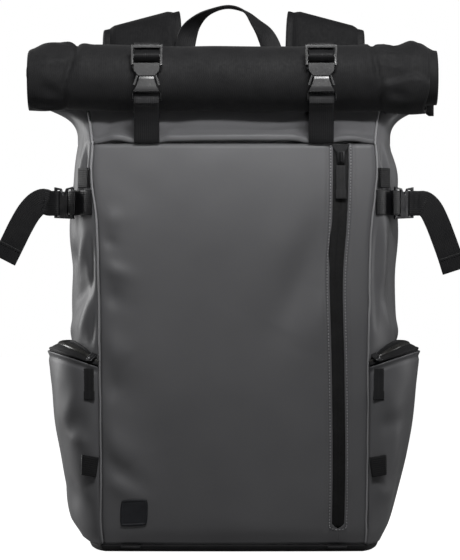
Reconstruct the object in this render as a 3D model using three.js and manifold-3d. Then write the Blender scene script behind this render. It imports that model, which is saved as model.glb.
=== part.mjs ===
// Rolltop backpack, closed and standing on its base. Millimetres, +Z up, front towards -Y.
// The origin is the middle of the flat underside of the base.
import * as THREE from "three";
import Module from "manifold-3d";
import { mergeVertices } from "three/addons/utils/BufferGeometryUtils.js";

const wasm = await Module();
wasm.setup();

// Driving dimensions of the bag
const BODY_W = 318; // widest, across the side panels
const FRONT_W = 270; // front panel, between its two side seams
const BODY_D = 130; // depth, front seams to back
const BODY_H = 390; // underside to the seam on top of the front panel
const FRONT_BULGE = 6; // how far the middle of the front stands out from its seams
const FABRIC = 2; // coated cloth wall
const BACK_PAD = 8; // padded back panel
const BASE_T = 3; // base panel
const BASE_RIM = 7; // height of the base panel's turned-up rim
const BASE_EDGE = 5; // radius of the base's lower edge
const SEAM_GAP = 0.3; // left between pieces that are sewn or laid together

// Neck and roll
const NECK_RISE = 40; // top seam to the closed mouth
const MOUTH_D = 10; // depth of the flattened mouth
const ROLL_LENGTH = 390;
const ROLL_R = 33; // outermost turn, at the middle of its cloth
const ROLL_PITCH = 5.5; // from one turn to the next
const ROLL_TURNS = 3;
const ROLL_CLOTH = 3; // both layers of the flattened mouth
const ROLL_RISE = 61.5; // top seam to the axis of the roll
const ROLL_FORWARD = 30; // axis of the roll, in front of the middle of the bag

// Pockets, zips and patch
const POCKET_H = 190; // rim at its highest
const POCKET_DIP = 14; // the rim is this much lower at the front seam
const POCKET_OUT = 21; // how far a pocket stands off its side
const TAPE_RISE = 8; // the zip tape climbs this much from rim to side
const TAPE_T = 1.2;
const ZIP_INSET = 33; // middle of the front zip, from the front's side seam
const ZIP_W = 15;
const ZIP_BOTTOM = 24; // lower end above the floor
const ZIP_TOP = 2; // upper end below the top seam
const SLIDER_W = 9;
const SLIDER_L = 12;
const SLIDER_T = 4;
const PULLER_W = 9;
const PULLER_L = 33;
const PULLER_T = 1.6;
const PULLER_AT = 0.04; // place of a pocket's slider, share of the way round the side
const PATCH_SIDE = 26;
const PATCH_T = 1.4;
const PATCH_INSET = 40; // middle of the patch, from the other side seam
const PATCH_Z = 38;

// Webbing and hardware
const WEB_W = 24;
const WEB_T = 1.5;
const WEB_CLEAR = 0.4; // between webbing and what it lies on
const SLOT_CLEAR = 0.8; // beside webbing that passes through a slot
const BUCKLE_INSET = 52; // middle of a roll strap, from the front's side seam
const BUCKLE_TILT = 12; // degrees, leaning back over the roll
const LADDER_W = 30;
const BUCKLE_W = 28.4;
const BUCKLE_T = 8;
const HOOK_W = 24;
const HOOK_H = 31;
const HOOK_T = 2.4;
const HOOK_DROP = 57; // middle of the side straps, below the top seam
const TAIL_LENGTH = 76; // free end of a side strap
const KEEPER_H = 19;
const SIDE_TAB_Z = 88;
const SIDE_TAB_H = 19;
const SIDE_TAB_OUT = 15;
const BASE_TAB_INSET = 37; // from the front's side seam
const BASE_TAB_W = 19;
const BASE_TAB_OUT = 6;

// Handle and shoulder straps
const HANDLE_W = 20;
const HANDLE_T = 2.6;
const HANDLE_SPAN = 96; // between the middles of its two ends
const HANDLE_RISE = 149; // ends to top
const STRAP_W = 76;
const STRAP_T = 12;
const STRAP_INSET = 71; // middle of a strap at its root, from the widest part of the side
const STRAP_RISE = 138; // root to crest
const STRAP_BACK = 52; // how far a strap stands behind the back panel
const STRAP_END = 178; // lower end of the padding above the floor
const STRAP_SPREAD = 26; // the lower end is this much further out than the root
const STRAP_TILT = 15; // degrees, the crest falls outwards
const ROOT_DROP = 6; // strap and handle roots, below the top seam
const ADJUSTER_W = 32;
const ADJUSTER_H = 20;
const ADJUSTER_T = 2.4;
const ANCHOR_Z = 26; // lower ends of the shoulder webbing

const GREY = { color: 0x515153, roughness: 0.55, metalness: 0 };
const BLACK_CLOTH = { color: 0x141415, roughness: 0.9, metalness: 0 };
const WEBBING = { color: 0x101011, roughness: 0.7, metalness: 0 };
const PLASTIC = { color: 0x0f0f10, roughness: 0.4, metalness: 0 };
const METAL = { color: 0x2c2c2e, roughness: 0.25, metalness: 1 };
const RUBBER = { color: 0x17181b, roughness: 0.6, metalness: 0 };

const LAID = WEB_CLEAR + WEB_T / 2; // middle of webbing that lies on a panel
const ZIP_X = FRONT_W / 2 - ZIP_INSET;
const PATCH_X = PATCH_INSET - FRONT_W / 2;
const BUCKLE_X = FRONT_W / 2 - BUCKLE_INSET;
const BASE_TAB_X = FRONT_W / 2 - BASE_TAB_INSET;
const STRAP_X = BODY_W / 2 - STRAP_INSET;
const HOOK_Z = BODY_H - HOOK_DROP;

const V = (x, y, z) => new THREE.Vector3(x, y, z);
const UP = V(0, 0, 1);
const lerp = THREE.MathUtils.lerp;
const rad = THREE.MathUtils.degToRad;
const steps = (n) => Array.from({ length: n + 1 }, (_, i) => i / n);

const bag = new THREE.Group();

function addMesh(name, geometry, look, parent = bag) {
  const mesh = new THREE.Mesh(geometry, new THREE.MeshStandardMaterial(look));
  mesh.name = name;
  parent.add(mesh);
  return mesh;
}

// Closed surfaces from points and triangles

// Turns the triangles round where they enclose a negative volume.
function closedSurface(points, triangles) {
  let volume = 0;
  for (const [a, b, c] of triangles) {
    volume += points[a].dot(points[b].clone().cross(points[c]));
  }
  const index = triangles.flatMap(([a, b, c]) => (volume < 0 ? [a, c, b] : [a, b, c]));
  const geometry = new THREE.BufferGeometry();
  const flat = new Float32Array(points.flatMap((p) => [p.x, p.y, p.z]));
  geometry.setAttribute("position", new THREE.BufferAttribute(flat, 3));
  geometry.setIndex(index);
  geometry.computeVertexNormals();
  return geometry;
}

const quad = (a, b, c, d) => [
  [a, b, c],
  [a, c, d],
];

// A wall between two grids of points, outer[row][column] and inner[row][column].
function wall(outer, inner) {
  const rows = outer.length;
  const cols = outer[0].length;
  const points = [...outer.flat(), ...inner.flat()];
  const o = (r, c) => r * cols + c;
  const i = (r, c) => rows * cols + r * cols + c;
  const triangles = [];
  for (let r = 0; r < rows - 1; r++) {
    for (let c = 0; c < cols - 1; c++) {
      triangles.push(...quad(o(r, c), o(r, c + 1), o(r + 1, c + 1), o(r + 1, c)));
      triangles.push(...quad(i(r, c), i(r + 1, c), i(r + 1, c + 1), i(r, c + 1)));
    }
    triangles.push(...quad(o(r, 0), o(r + 1, 0), i(r + 1, 0), i(r, 0)));
    triangles.push(...quad(o(r, cols - 1), i(r, cols - 1), i(r + 1, cols - 1), o(r + 1, cols - 1)));
  }
  for (let c = 0; c < cols - 1; c++) {
    triangles.push(...quad(o(0, c), i(0, c), i(0, c + 1), o(0, c + 1)));
    triangles.push(...quad(o(rows - 1, c), o(rows - 1, c + 1), i(rows - 1, c + 1), i(rows - 1, c)));
  }
  return closedSurface(points, triangles);
}

// Rings of points joined one to the next, with the first and last ring capped.
function loft(rings) {
  const n = rings[0].length;
  const points = rings.flat();
  const triangles = [];
  for (let r = 0; r < rings.length - 1; r++) {
    for (let k = 0; k < n; k++) {
      const next = (k + 1) % n;
      triangles.push(...quad(r * n + k, r * n + next, (r + 1) * n + next, (r + 1) * n + k));
    }
  }
  const cap = (first, flip) => {
    const middle = V(0, 0, 0);
    for (let k = 0; k < n; k++) {
      middle.addScaledVector(points[first + k], 1 / n);
    }
    points.push(middle);
    for (let k = 0; k < n; k++) {
      const edge = [first + k, first + ((k + 1) % n)];
      triangles.push([points.length - 1, ...(flip ? edge : edge.reverse())]);
    }
  };
  cap(0, false);
  cap((rings.length - 1) * n, true);
  return closedSurface(points, triangles);
}

// A band along a path. section is a closed outline in [width, thickness].
function band(path, widthOf, section) {
  const rings = path.map((point, i) => {
    const before = path[Math.max(i - 1, 0)];
    const after = path[Math.min(i + 1, path.length - 1)];
    const tangent = after.clone().sub(before).normalize();
    const wanted = typeof widthOf === "function" ? widthOf(i / (path.length - 1)) : widthOf;
    const across = wanted.clone().addScaledVector(tangent, -wanted.dot(tangent)).normalize();
    const normal = tangent.clone().cross(across);
    return section.map(([w, t]) => point.clone().addScaledVector(across, w).addScaledVector(normal, t));
  });
  return loft(rings);
}

const flatSection = (w, t) => [
  [-w / 2, -t / 2],
  [w / 2, -t / 2],
  [w / 2, t / 2],
  [-w / 2, t / 2],
];

// A padded section: full in the middle and thinner at its bound edges.
const paddedSection = (w, t) => [
  [-w / 2, -0.16 * t],
  [-0.4 * w, -0.46 * t],
  [0, -0.5 * t],
  [0.4 * w, -0.46 * t],
  [w / 2, -0.16 * t],
  [w / 2, 0.16 * t],
  [0.4 * w, 0.46 * t],
  [0, 0.5 * t],
  [-0.4 * w, 0.46 * t],
  [-w / 2, 0.16 * t],
];

const smoothPath = (points, n) => new THREE.CatmullRomCurve3(points, false, "centripetal").getPoints(n);

function manifoldOf(geometry) {
  const bare = geometry.clone();
  bare.deleteAttribute("normal");
  bare.deleteAttribute("uv");
  const merged = mergeVertices(bare, 1e-4);
  return new wasm.Manifold(
    new wasm.Mesh({
      numProp: 3,
      vertProperties: merged.attributes.position.array,
      triVerts: new Uint32Array(merged.index.array),
    }),
  );
}

function geometryOf(solid) {
  const mesh = solid.getMesh();
  const geometry = new THREE.BufferGeometry();
  geometry.setAttribute("position", new THREE.BufferAttribute(mesh.vertProperties, 3));
  geometry.setIndex(new THREE.BufferAttribute(mesh.triVerts, 1));
  geometry.computeVertexNormals();
  return geometry;
}

// An outline in X and Z, with holes, extruded to thickness t about Y = 0.
function plate(outline, holes, t) {
  const shape = new THREE.Shape(outline.map(([x, z]) => new THREE.Vector2(x, z)));
  for (const hole of holes) {
    shape.holes.push(new THREE.Path(hole.map(([x, z]) => new THREE.Vector2(x, z))));
  }
  const geometry = new THREE.ExtrudeGeometry(shape, { depth: t, bevelEnabled: false });
  return geometry.translate(0, 0, -t / 2).rotateX(Math.PI / 2);
}

const rect = (x0, z0, x1, z1) => [
  [x0, z0],
  [x1, z0],
  [x1, z1],
  [x0, z1],
];
const mirrored = (half) => [...half, ...half.map(([x, z]) => [-x, z]).reverse()];

// Sections of the bag

// Columns: height / BODY_H, front seam / FRONT_W, side / BODY_W, front seam depth / BODY_D,
// bulge / FRONT_BULGE, back seam / BODY_W, back depth / BODY_D
const BODY_LEVELS = [
  [0.018, 0.463, 0.441, -0.47, 0.4, 0.4, 0.46],
  [0.06, 0.468, 0.454, -0.5, 0.7, 0.415, 0.48],
  [0.17, 0.468, 0.472, -0.53, 1.0, 0.425, 0.495],
  [0.34, 0.47, 0.487, -0.545, 1.1, 0.43, 0.5],
  [0.51, 0.4725, 0.496, -0.535, 1.0, 0.435, 0.5],
  [0.67, 0.477, 0.488, -0.515, 1.0, 0.44, 0.5],
  [0.8, 0.484, 0.5, -0.49, 0.9, 0.44, 0.5],
  [0.92, 0.504, 0.492, -0.46, 0.8, 0.44, 0.49],
  [1.0, 0.4995, 0.478, -0.435, 0.6, 0.435, 0.48],
];

// Columns: rise / NECK_RISE, then how far the front, the sides and the back have closed, 0 to 1
const NECK_LEVELS = [
  [0, 0, 0, 0],
  [0.325, 0.245, 0.04, 0.06],
  [0.575, 0.49, 0.18, 0.22],
  [0.75, 0.71, 0.42, 0.46],
  [1, 1, 1, 1],
];

// Smooth reading of a table: its first column is the place, and the rest are values.
function readTable(table, at) {
  const last = table.length - 1;
  let k = 0;
  while (k < last - 1 && at > table[k + 1][0]) {
    k++;
  }
  const rows = [Math.max(k - 1, 0), k, k + 1, Math.min(k + 2, last)].map((i) => table[i]);
  const span = rows[2][0] - rows[1][0];
  const t = THREE.MathUtils.clamp((at - rows[1][0]) / span, 0, 1);
  return rows[1].slice(1).map((v1, i) => {
    const [v0, , v2, v3] = rows.map((row) => row[i + 1]);
    const m1 = ((v2 - v0) / (rows[2][0] - rows[0][0] || span)) * span;
    const m2 = ((v3 - v1) / (rows[3][0] - rows[1][0] || span)) * span;
    const t2 = t * t;
    const t3 = t2 * t;
    return (2 * t3 - 3 * t2 + 1) * v1 + (t3 - 2 * t2 + t) * m1 + (3 * t2 - 2 * t3) * v2 + (t3 - t2) * m2;
  });
}

const ROLL_Z = BODY_H + ROLL_RISE;
const ROLL_Y = -ROLL_FORWARD;
const SHEET_Y = ROLL_Y + ROLL_R; // the flattened mouth, behind the roll
const MOUTH_Z = BODY_H + NECK_RISE;

// The corners of the bag's section at height z.
function sectionAt(z) {
  const [frontX, sideX, frontY, bulge, backX, backY] = readTable(BODY_LEVELS, Math.min(z / BODY_H, 1));
  const section = {
    z,
    frontX: frontX * FRONT_W,
    sideX: sideX * BODY_W,
    frontY: frontY * BODY_D,
    bulge: bulge * FRONT_BULGE,
    backX: backX * BODY_W,
    backY: backY * BODY_D,
  };
  if (z > BODY_H) {
    const [front, side, back] = readTable(NECK_LEVELS, (z - BODY_H) / NECK_RISE);
    const mouthX = ROLL_LENGTH / 2 - FABRIC;
    section.frontX = lerp(section.frontX, 0.53 * FRONT_W, front);
    section.sideX = lerp(section.sideX, mouthX, side);
    section.backX = lerp(section.backX, 0.47 * BODY_W, back);
    section.frontY = lerp(section.frontY, SHEET_Y - MOUTH_D / 2, front);
    section.backY = lerp(section.backY, SHEET_Y + MOUTH_D / 2, back);
    section.bulge *= 1 - front;
  }
  return section;
}

// A point of the right side, t = 0 at the front seam and 1 at the back seam.
function sidePoint(s, t) {
  const pull = (8 * s.sideX - s.frontX - s.backX) / 6;
  const depth = s.backY - s.frontY;
  const ys = [s.frontY, s.frontY + 0.16 * depth, s.backY - 0.14 * depth, s.backY];
  const xs = [s.frontX, pull, pull, s.backX];
  const u = 1 - t;
  const mix = (a) => u * u * u * a[0] + 3 * u * u * t * a[1] + 3 * u * t * t * a[2] + t * t * t * a[3];
  return V(mix(xs), mix(ys), s.z);
}

const frontPoint = (s, x) => V(x, s.frontY - s.bulge * (1 - (x / s.frontX) ** 2), s.z);
const backPoint = (s, x) => V(x, s.backY, s.z);
const frontAt = (x, z) => frontPoint(sectionAt(z), x);

const ACROSS_STEPS = steps(8); // shares across the front and back
const AROUND_STEPS = steps(8); // shares round a side

// The four runs of the section, each a list of points that ends a little before its seams.
function sectionRuns(z) {
  const s = sectionAt(z);
  const inset = SEAM_GAP / 2;
  const trim = (run) => {
    const ends = [
      [0, 1],
      [run.length - 1, run.length - 2],
    ];
    for (const [end, next] of ends) {
      const step = run[next].clone().sub(run[end]);
      run[end].addScaledVector(step.normalize(), inset);
    }
    return run;
  };
  const right = AROUND_STEPS.map((t) => sidePoint(s, t));
  const mirror = (run) => run.map((p) => V(-p.x, p.y, p.z)).reverse();
  return {
    front: trim(ACROSS_STEPS.map((t) => frontPoint(s, lerp(-s.frontX, s.frontX, t)))),
    right: trim(right.map((p) => p.clone())),
    back: trim(ACROSS_STEPS.map((t) => backPoint(s, lerp(s.backX, -s.backX, t)))),
    left: trim(mirror(right)),
  };
}

const RUN_NAMES = ["front", "right", "back", "left"];

// The same run moved inwards in its own plane. Its ends move along the mitre with the next run.
function insetRun(runs, name, by) {
  const run = runs[name];
  const at = RUN_NAMES.indexOf(name);
  const previous = runs[RUN_NAMES[(at + 3) % 4]];
  const next = runs[RUN_NAMES[(at + 1) % 4]];
  const sideways = (a, b) => {
    const d = b.clone().sub(a).normalize();
    return V(-d.y, d.x, 0);
  };
  return run.map((p, i) => {
    const before = i > 0 ? sideways(run[i - 1], p) : sideways(previous.at(-2), previous.at(-1));
    const after = i < run.length - 1 ? sideways(p, run[i + 1]) : sideways(next[0], next[1]);
    const normal = before.clone().add(after).normalize();
    return p.clone().addScaledVector(normal, by / Math.max(normal.dot(after), 0.4));
  });
}

// Panels of the bag

function panel(name, run, heights, thickness, look) {
  const outer = [];
  const inner = [];
  for (const z of heights) {
    const runs = sectionRuns(z);
    outer.push(runs[run]);
    inner.push(insetRun(runs, run, thickness));
  }
  addMesh(name, wall(outer, inner), look);
}

const BODY_START = BASE_RIM + SEAM_GAP;
const bodyHeights = (n, top) => steps(n).map((t) => lerp(BODY_START, top, t));
const neckHeights = (bottom) => [bottom, ...NECK_LEVELS.slice(1).map(([rise]) => BODY_H + rise * NECK_RISE)];

function bodyPanels() {
  const seam = SEAM_GAP / 2;
  panel("front_panel", "front", bodyHeights(12, BODY_H - seam), FABRIC, GREY);
  panel("back_panel", "back", bodyHeights(10, BODY_H - seam), BACK_PAD, BLACK_CLOTH);
  panel("yoke_front", "front", neckHeights(BODY_H + seam), FABRIC, GREY);
  panel("yoke_back", "back", neckHeights(BODY_H + seam), FABRIC, GREY);
  const tall = [...bodyHeights(12, BODY_H), ...neckHeights(BODY_H).slice(1)];
  panel("side_panel_left", "left", tall, FABRIC, GREY);
  panel("side_panel_right", "right", tall, FABRIC, GREY);
}

// The base: a shallow tray with a flat underside and a rim that meets the walls.
function basePanel() {
  const runs = sectionRuns(BASE_RIM);
  const ringAt = (z, inset) => {
    const whole = RUN_NAMES.flatMap((name) => insetRun(runs, name, Math.max(inset, 0.001)).slice(0, -1));
    return whole.map((p) => V(p.x, p.y, z));
  };
  const round = (t) => BASE_EDGE * (1 - Math.cos(rad(t)));
  const lift = (t) => BASE_EDGE * (1 - Math.sin(rad(t)));
  const outer = [0, 45, 90].map((t) => ringAt(lift(t), round(t)));
  const inner = [90, 0].map((t) => ringAt(BASE_T + lift(t) * 0.6, BASE_T + round(t)));
  const rings = [...outer.reverse(), ringAt(BASE_RIM, 0), ringAt(BASE_RIM, BASE_T), ...inner.reverse()];
  addMesh("base_panel", loft(rings), BLACK_CLOTH);
}

// The rolled closure: the flattened mouth goes up behind the roll, over it and round inside.
// Columns: place / half length, radius scale, lift / ROLL_R
const ROLL_ENDS = [
  [0, 1, 0],
  [0.4, 1, 0.01],
  [0.72, 1.0, 0.03],
  [0.83, 0.97, 0.03],
  [0.92, 1.04, 0.05],
  [1, 1.0, 0.03],
];

const FREE_TURN = 0.12; // share of a turn after which the cloth is free to lift

const spiralRadius = (turn) => ROLL_R - ROLL_PITCH * turn;

function rollTop() {
  const perTurn = 16;
  const turns = steps(perTurn * ROLL_TURNS).map((t) => t * ROLL_TURNS);
  const profile = (offset, scale, lift) => {
    const flat = [[SHEET_Y + offset, MOUTH_Z + SEAM_GAP]];
    const wound = turns.map((turn) => {
      const r = (spiralRadius(turn) + offset) * (turn > FREE_TURN ? scale : 1);
      const a = turn * 2 * Math.PI;
      return [ROLL_Y + r * Math.cos(a), ROLL_Z + r * Math.sin(a) + (turn > FREE_TURN ? lift * ROLL_R : 0)];
    });
    return [...flat, ...wound];
  };
  const half = ROLL_ENDS.slice(1).map(([at]) => at);
  const places = [...half.map((at) => -at).reverse(), 0, ...half];
  const grid = (offset) =>
    places.map((at) => {
      const [scale, lift] = readTable(ROLL_ENDS, Math.abs(at));
      return profile(offset, scale, lift).map(([y, z]) => V((at * ROLL_LENGTH) / 2, y, z));
    });
  addMesh("roll_top", wall(grid(ROLL_CLOTH / 2), grid(-ROLL_CLOTH / 2)), BLACK_CLOTH);
}

// Side pockets

// Columns: height / pocket rim, how far the pocket stands out / POCKET_OUT
const POCKET_LEVELS = [
  [0.04, 0],
  [0.12, 0.17],
  [0.24, 0.37],
  [0.38, 0.58],
  [0.54, 0.76],
  [0.7, 0.92],
  [0.85, 1.0],
  [1, 1.0],
];

const rimHeight = (t) => POCKET_H - POCKET_DIP * Math.max(0, 1 - t / 0.35) ** 2;
const outwards = (t) => 1 - Math.abs(2 * t - 1) ** 4;

// A point of the right pocket, at share t round the side and share v of the rim's height.
function pocketPoint(t, v, extra) {
  const z = v * rimHeight(t);
  const s = sectionAt(z);
  const p = sidePoint(s, t);
  const step = sidePoint(s, Math.min(t + 0.01, 1)).sub(sidePoint(s, Math.max(t - 0.01, 0)));
  const normal = V(step.y, -step.x, 0).normalize();
  const [out] = readTable(POCKET_LEVELS, v);
  return p.addScaledVector(normal, SEAM_GAP + out * POCKET_OUT * outwards(t) + extra);
}

const mirrorX = (p, side) => V(p.x * side, p.y, p.z);
const SIDES = [
  ["left", -1],
  ["right", 1],
];
const POCKET_STEPS = steps(10);

function sidePockets() {
  const levels = POCKET_LEVELS.map(([v]) => v);
  for (const [side, sign] of SIDES) {
    const grid = (extra) => levels.map((v) => POCKET_STEPS.map((t) => mirrorX(pocketPoint(t, v, extra), sign)));
    addMesh(`pocket_${side}`, wall(grid(FABRIC), grid(0)), GREY);
  }
}

// The closed zip over a pocket: from the rim to the side panel, climbing inwards.
function tapePoint(t, w, lift) {
  const rim = pocketPoint(t, 1, FABRIC / 2);
  const z = rim.z + TAPE_RISE * (0.4 + 0.6 * outwards(t));
  const seat = sidePoint(sectionAt(z), t);
  const step = sidePoint(sectionAt(z), Math.min(t + 0.01, 1)).sub(sidePoint(sectionAt(z), Math.max(t - 0.01, 0)));
  seat.addScaledVector(V(step.y, -step.x, 0).normalize(), SEAM_GAP);
  const p = rim.clone().lerp(seat, w);
  p.z = lerp(rim.z, z, Math.sqrt(w)) + SEAM_GAP + lift;
  return p;
}

function pocketTapes() {
  const across = [0, 0.35, 0.7, 1];
  const along = POCKET_STEPS.map((t) => lerp(0.01, 0.99, t));
  for (const [side, sign] of SIDES) {
    const grid = (lift) => across.map((w) => along.map((t) => mirrorX(tapePoint(t, w, lift), sign)));
    addMesh(`pocket_zip_${side}`, wall(grid(TAPE_T), grid(0)), BLACK_CLOTH);
  }
}

// Zip sliders and ribbon pullers

// A slider body with a bridge that a ribbon passes under.
function sliderGeometry() {
  const w = SLIDER_W / 2;
  const l = SLIDER_L / 2;
  const body = plate(
    mirrored([
      [0.7 * w, l],
      [w, 0.5 * l],
      [0.75 * w, -l],
    ]),
    [],
    SLIDER_T * 0.5,
  );
  const bridge = plate(rect(-0.25 * w, -0.8 * l, 0.25 * w, 0.8 * l), [], SLIDER_T * 0.5 + 0.1);
  return geometryOf(manifoldOf(body).add(manifoldOf(bridge.translate(0, -SLIDER_T / 2, 0))));
}

function placeSlider(name, at, tilt, turn) {
  const mesh = addMesh(name, sliderGeometry(), METAL);
  mesh.position.copy(at);
  mesh.rotation.set(rad(tilt), 0, rad(turn), "ZXY");
  return mesh;
}

function ribbon(name, top, direction, across) {
  const path = steps(2).map((t) => top.clone().addScaledVector(direction, t * PULLER_L));
  addMesh(name, band(path, across, flatSection(PULLER_W, PULLER_T)), WEBBING);
}

function frontZip() {
  const top = BODY_H - ZIP_TOP;
  const grid = (lift) =>
    steps(12).map((t) => {
      const z = lerp(ZIP_BOTTOM, top, t);
      return [-ZIP_W / 2, 0, ZIP_W / 2].map((dx) => frontAt(ZIP_X + dx, z).add(V(0, -SEAM_GAP - lift, 0)));
    });
  addMesh("front_zip_tape", wall(grid(TAPE_T), grid(0)), BLACK_CLOTH);
  const z = top - SLIDER_L;
  const seat = frontAt(ZIP_X, z);
  seat.y -= 2 * SEAM_GAP + TAPE_T + SLIDER_T * 0.3;
  placeSlider("front_zip_slider", seat, -4, 0);
  const hang = frontAt(ZIP_X, z - SLIDER_L * 0.5 - 2);
  hang.y -= 2 * SEAM_GAP + TAPE_T + PULLER_T;
  const low = frontAt(ZIP_X, hang.z - PULLER_L);
  low.y -= 2 * SEAM_GAP + TAPE_T + PULLER_T;
  ribbon("front_zip_puller", hang, low.sub(hang).normalize(), V(1, 0, 0));
}

function pocketPullers() {
  const t = PULLER_AT;
  // From the pocket's inner curve. The pocket's flat faces lie a little inside it here.
  const off = FABRIC - SEAM_GAP + PULLER_T / 4;
  for (const [side, sign] of SIDES) {
    const seat = tapePoint(t, 0.15, TAPE_T + SEAM_GAP + SLIDER_T * 0.75);
    const out = pocketPoint(t, 0.98, off);
    const back = pocketPoint(t + 0.05, 0.98, off);
    const low = pocketPoint(t, 0.98 - PULLER_L / POCKET_H, off);
    const across = mirrorX(back.clone().sub(out), sign);
    placeSlider(`pocket_slider_${side}`, mirrorX(seat, sign), -62, sign * 28);
    const top = mirrorX(out, sign);
    ribbon(`pocket_puller_${side}`, top, mirrorX(low, sign).sub(top).normalize(), across);
  }
}

// Bare patch on the front and the webbing tabs in the seams

function frontPatch() {
  const grid = (lift) =>
    steps(2).map((v) => {
      const z = PATCH_Z + (v - 0.5) * PATCH_SIDE;
      return steps(2).map((u) => frontAt(PATCH_X + (u - 0.5) * PATCH_SIDE, z).add(V(0, -SEAM_GAP - lift, 0)));
    });
  addMesh("front_patch", wall(grid(PATCH_T), grid(0)), RUBBER);
}

// A folded loop of webbing that leaves a seam and comes back to it.
function foldedTab(name, root, out, across, width, length) {
  const spread = out.clone().cross(across).normalize().multiplyScalar(WEB_T * 0.8);
  const tip = root.clone().addScaledVector(out, length);
  const path = [
    root.clone().add(spread),
    root.clone().addScaledVector(out, length * 0.8).add(spread),
    tip,
    root.clone().addScaledVector(out, length * 0.8).sub(spread),
    root.clone().sub(spread),
  ];
  addMesh(name, band(path, across, flatSection(width, WEB_T)), WEBBING);
}

function seamTabs() {
  for (const [side, sign] of SIDES) {
    const off = FABRIC + SEAM_GAP + 2 * WEB_T;
    const root = pocketPoint(0.0, SIDE_TAB_Z / POCKET_H, off);
    const ahead = pocketPoint(0.12, SIDE_TAB_Z / POCKET_H, off + 3 * WEB_T);
    const out = ahead.sub(root).normalize();
    foldedTab(`side_tab_${side}`, mirrorX(root, sign), mirrorX(out, sign), UP, SIDE_TAB_H, SIDE_TAB_OUT);
    const base = frontAt(BASE_TAB_X, BASE_RIM);
    base.set(base.x * sign, base.y - SEAM_GAP, BASE_RIM - 1.5 * WEB_T);
    foldedTab(`base_tab_${side}`, base, V(0, -1, 0), V(1, 0, 0), BASE_TAB_W, BASE_TAB_OUT);
  }
}

// Roll straps with their side-release buckles

// Heights along the buckle, from its middle
const PRONG_PART = { top: 28, ladder: 9.5, waist: -3, tip: -12 };
const LADDER_BARS = { top: 25, middleHigh: 18.5, middleLow: 16 };
const SOCKET_PART = { mouth: -3.4, waist: -7, shoulder: -13, hip: -19, end: -27 };
const SOCKET_SLOT = { top: -19.5, bottom: -25, recess: -24.6 };

// The webbing's way through the ladder. Columns: depth towards the roll, height along the buckle
const LADDER_ROUTE = [
  [3.2, 31],
  [3.2, 25.7],
  [-2.4, 18.4],
  [-2.4, 16.2],
  [1.2, 12.6],
];
// Its way round the socket's bar. Columns: depth as a share of its distance from the bar, height
const SOCKET_ROUTE = [
  [-0.9, -31],
  [-1, -26],
  [-0.8, -24],
  [0, -23.2],
  [0.8, -24],
  [1, -26],
  [0.9, -31],
];

function prongPart() {
  const w = LADDER_W / 2;
  const { top, ladder, waist } = PRONG_PART;
  const slot = WEB_W / 2 + SLOT_CLEAR;
  const { top: bar, middleHigh, middleLow } = LADDER_BARS;
  const frame = plate(rect(-w, ladder - 1.5, w, top), [rect(-slot, ladder + 0.2, slot, bar)], 3);
  const middle = plate(rect(-slot - 0.5, middleLow, slot + 0.5, middleHigh), [], 1.2);
  const neck = BUCKLE_W * 0.28;
  const body = plate(
    mirrored([
      [0.44 * BUCKLE_W, ladder],
      [0.42 * BUCKLE_W, waist + 5],
      [neck, waist],
    ]),
    [],
    0.75 * BUCKLE_T,
  );
  const tongue = plate(rect(-neck * 0.55, waist - 13, neck * 0.55, waist + 1), [], 0.3 * BUCKLE_T);
  const arm = (sign) => {
    const outline = [
      [neck + 1.4, waist + 2.2],
      [0.46 * BUCKLE_W, PRONG_PART.tip],
      [0.38 * BUCKLE_W, PRONG_PART.tip - 0.4],
      [neck + 0.5, waist - 1],
      [neck * 0.7, waist + 0.5],
    ].map(([x, z]) => [x * sign, z]);
    return plate(sign > 0 ? outline : outline.reverse(), [], 0.4 * BUCKLE_T);
  };
  const pieces = [middle, body, tongue, arm(1), arm(-1)].map(manifoldOf);
  return geometryOf(pieces.reduce((sum, piece) => sum.add(piece), manifoldOf(frame)));
}

function socketPart() {
  const neck = BUCKLE_W * 0.28;
  const wide = BUCKLE_W / 2;
  const { mouth, waist, shoulder, hip, end } = SOCKET_PART;
  const outline = mirrored([
    [neck - 0.6, mouth],
    [neck, waist],
    [0.35 * BUCKLE_W, shoulder],
    [wide * 0.94, hip],
    [wide, hip - 1.5],
    [wide, end],
  ]);
  const half = WEB_W / 2 + 0.5;
  const slot = rect(-half, SOCKET_SLOT.bottom, half, SOCKET_SLOT.top);
  const body = manifoldOf(plate(outline, [slot], BUCKLE_T));
  const cavity = plate(rect(-neck * 0.55 - 0.4, -16.5, neck * 0.55 + 0.4, 0), [], 0.3 * BUCKLE_T + 0.8);
  const recess = (sign) => {
    const depth = BUCKLE_T / 4 + 1;
    const cut = plate(rect(-half, end - 3, half, SOCKET_SLOT.recess), [], depth);
    return manifoldOf(cut.translate(0, sign * (BUCKLE_T / 4 + depth / 2), 0));
  };
  return geometryOf([manifoldOf(cavity), recess(1), recess(-1)].reduce((left, cut) => left.subtract(cut), body));
}

const buckleCentre = () => {
  const away = ROLL_R + ROLL_CLOTH / 2 + WEB_CLEAR + BUCKLE_T / 2;
  const tilt = rad(BUCKLE_TILT);
  const drop = 4.4; // the buckle hangs a little below where its plane touches the roll
  const y = ROLL_Y - away * Math.cos(tilt) - drop * Math.sin(tilt);
  return V(0, y, ROLL_Z + away * Math.sin(tilt) - drop * Math.cos(tilt));
};

// A point of a buckle's own plane: depth towards the roll, and place along the buckle.
function onBuckle(x, depth, along) {
  const tilt = rad(BUCKLE_TILT);
  const c = buckleCentre();
  return V(
    x,
    c.y + depth * Math.cos(tilt) + along * Math.sin(tilt),
    c.z - depth * Math.sin(tilt) + along * Math.cos(tilt),
  );
}

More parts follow.
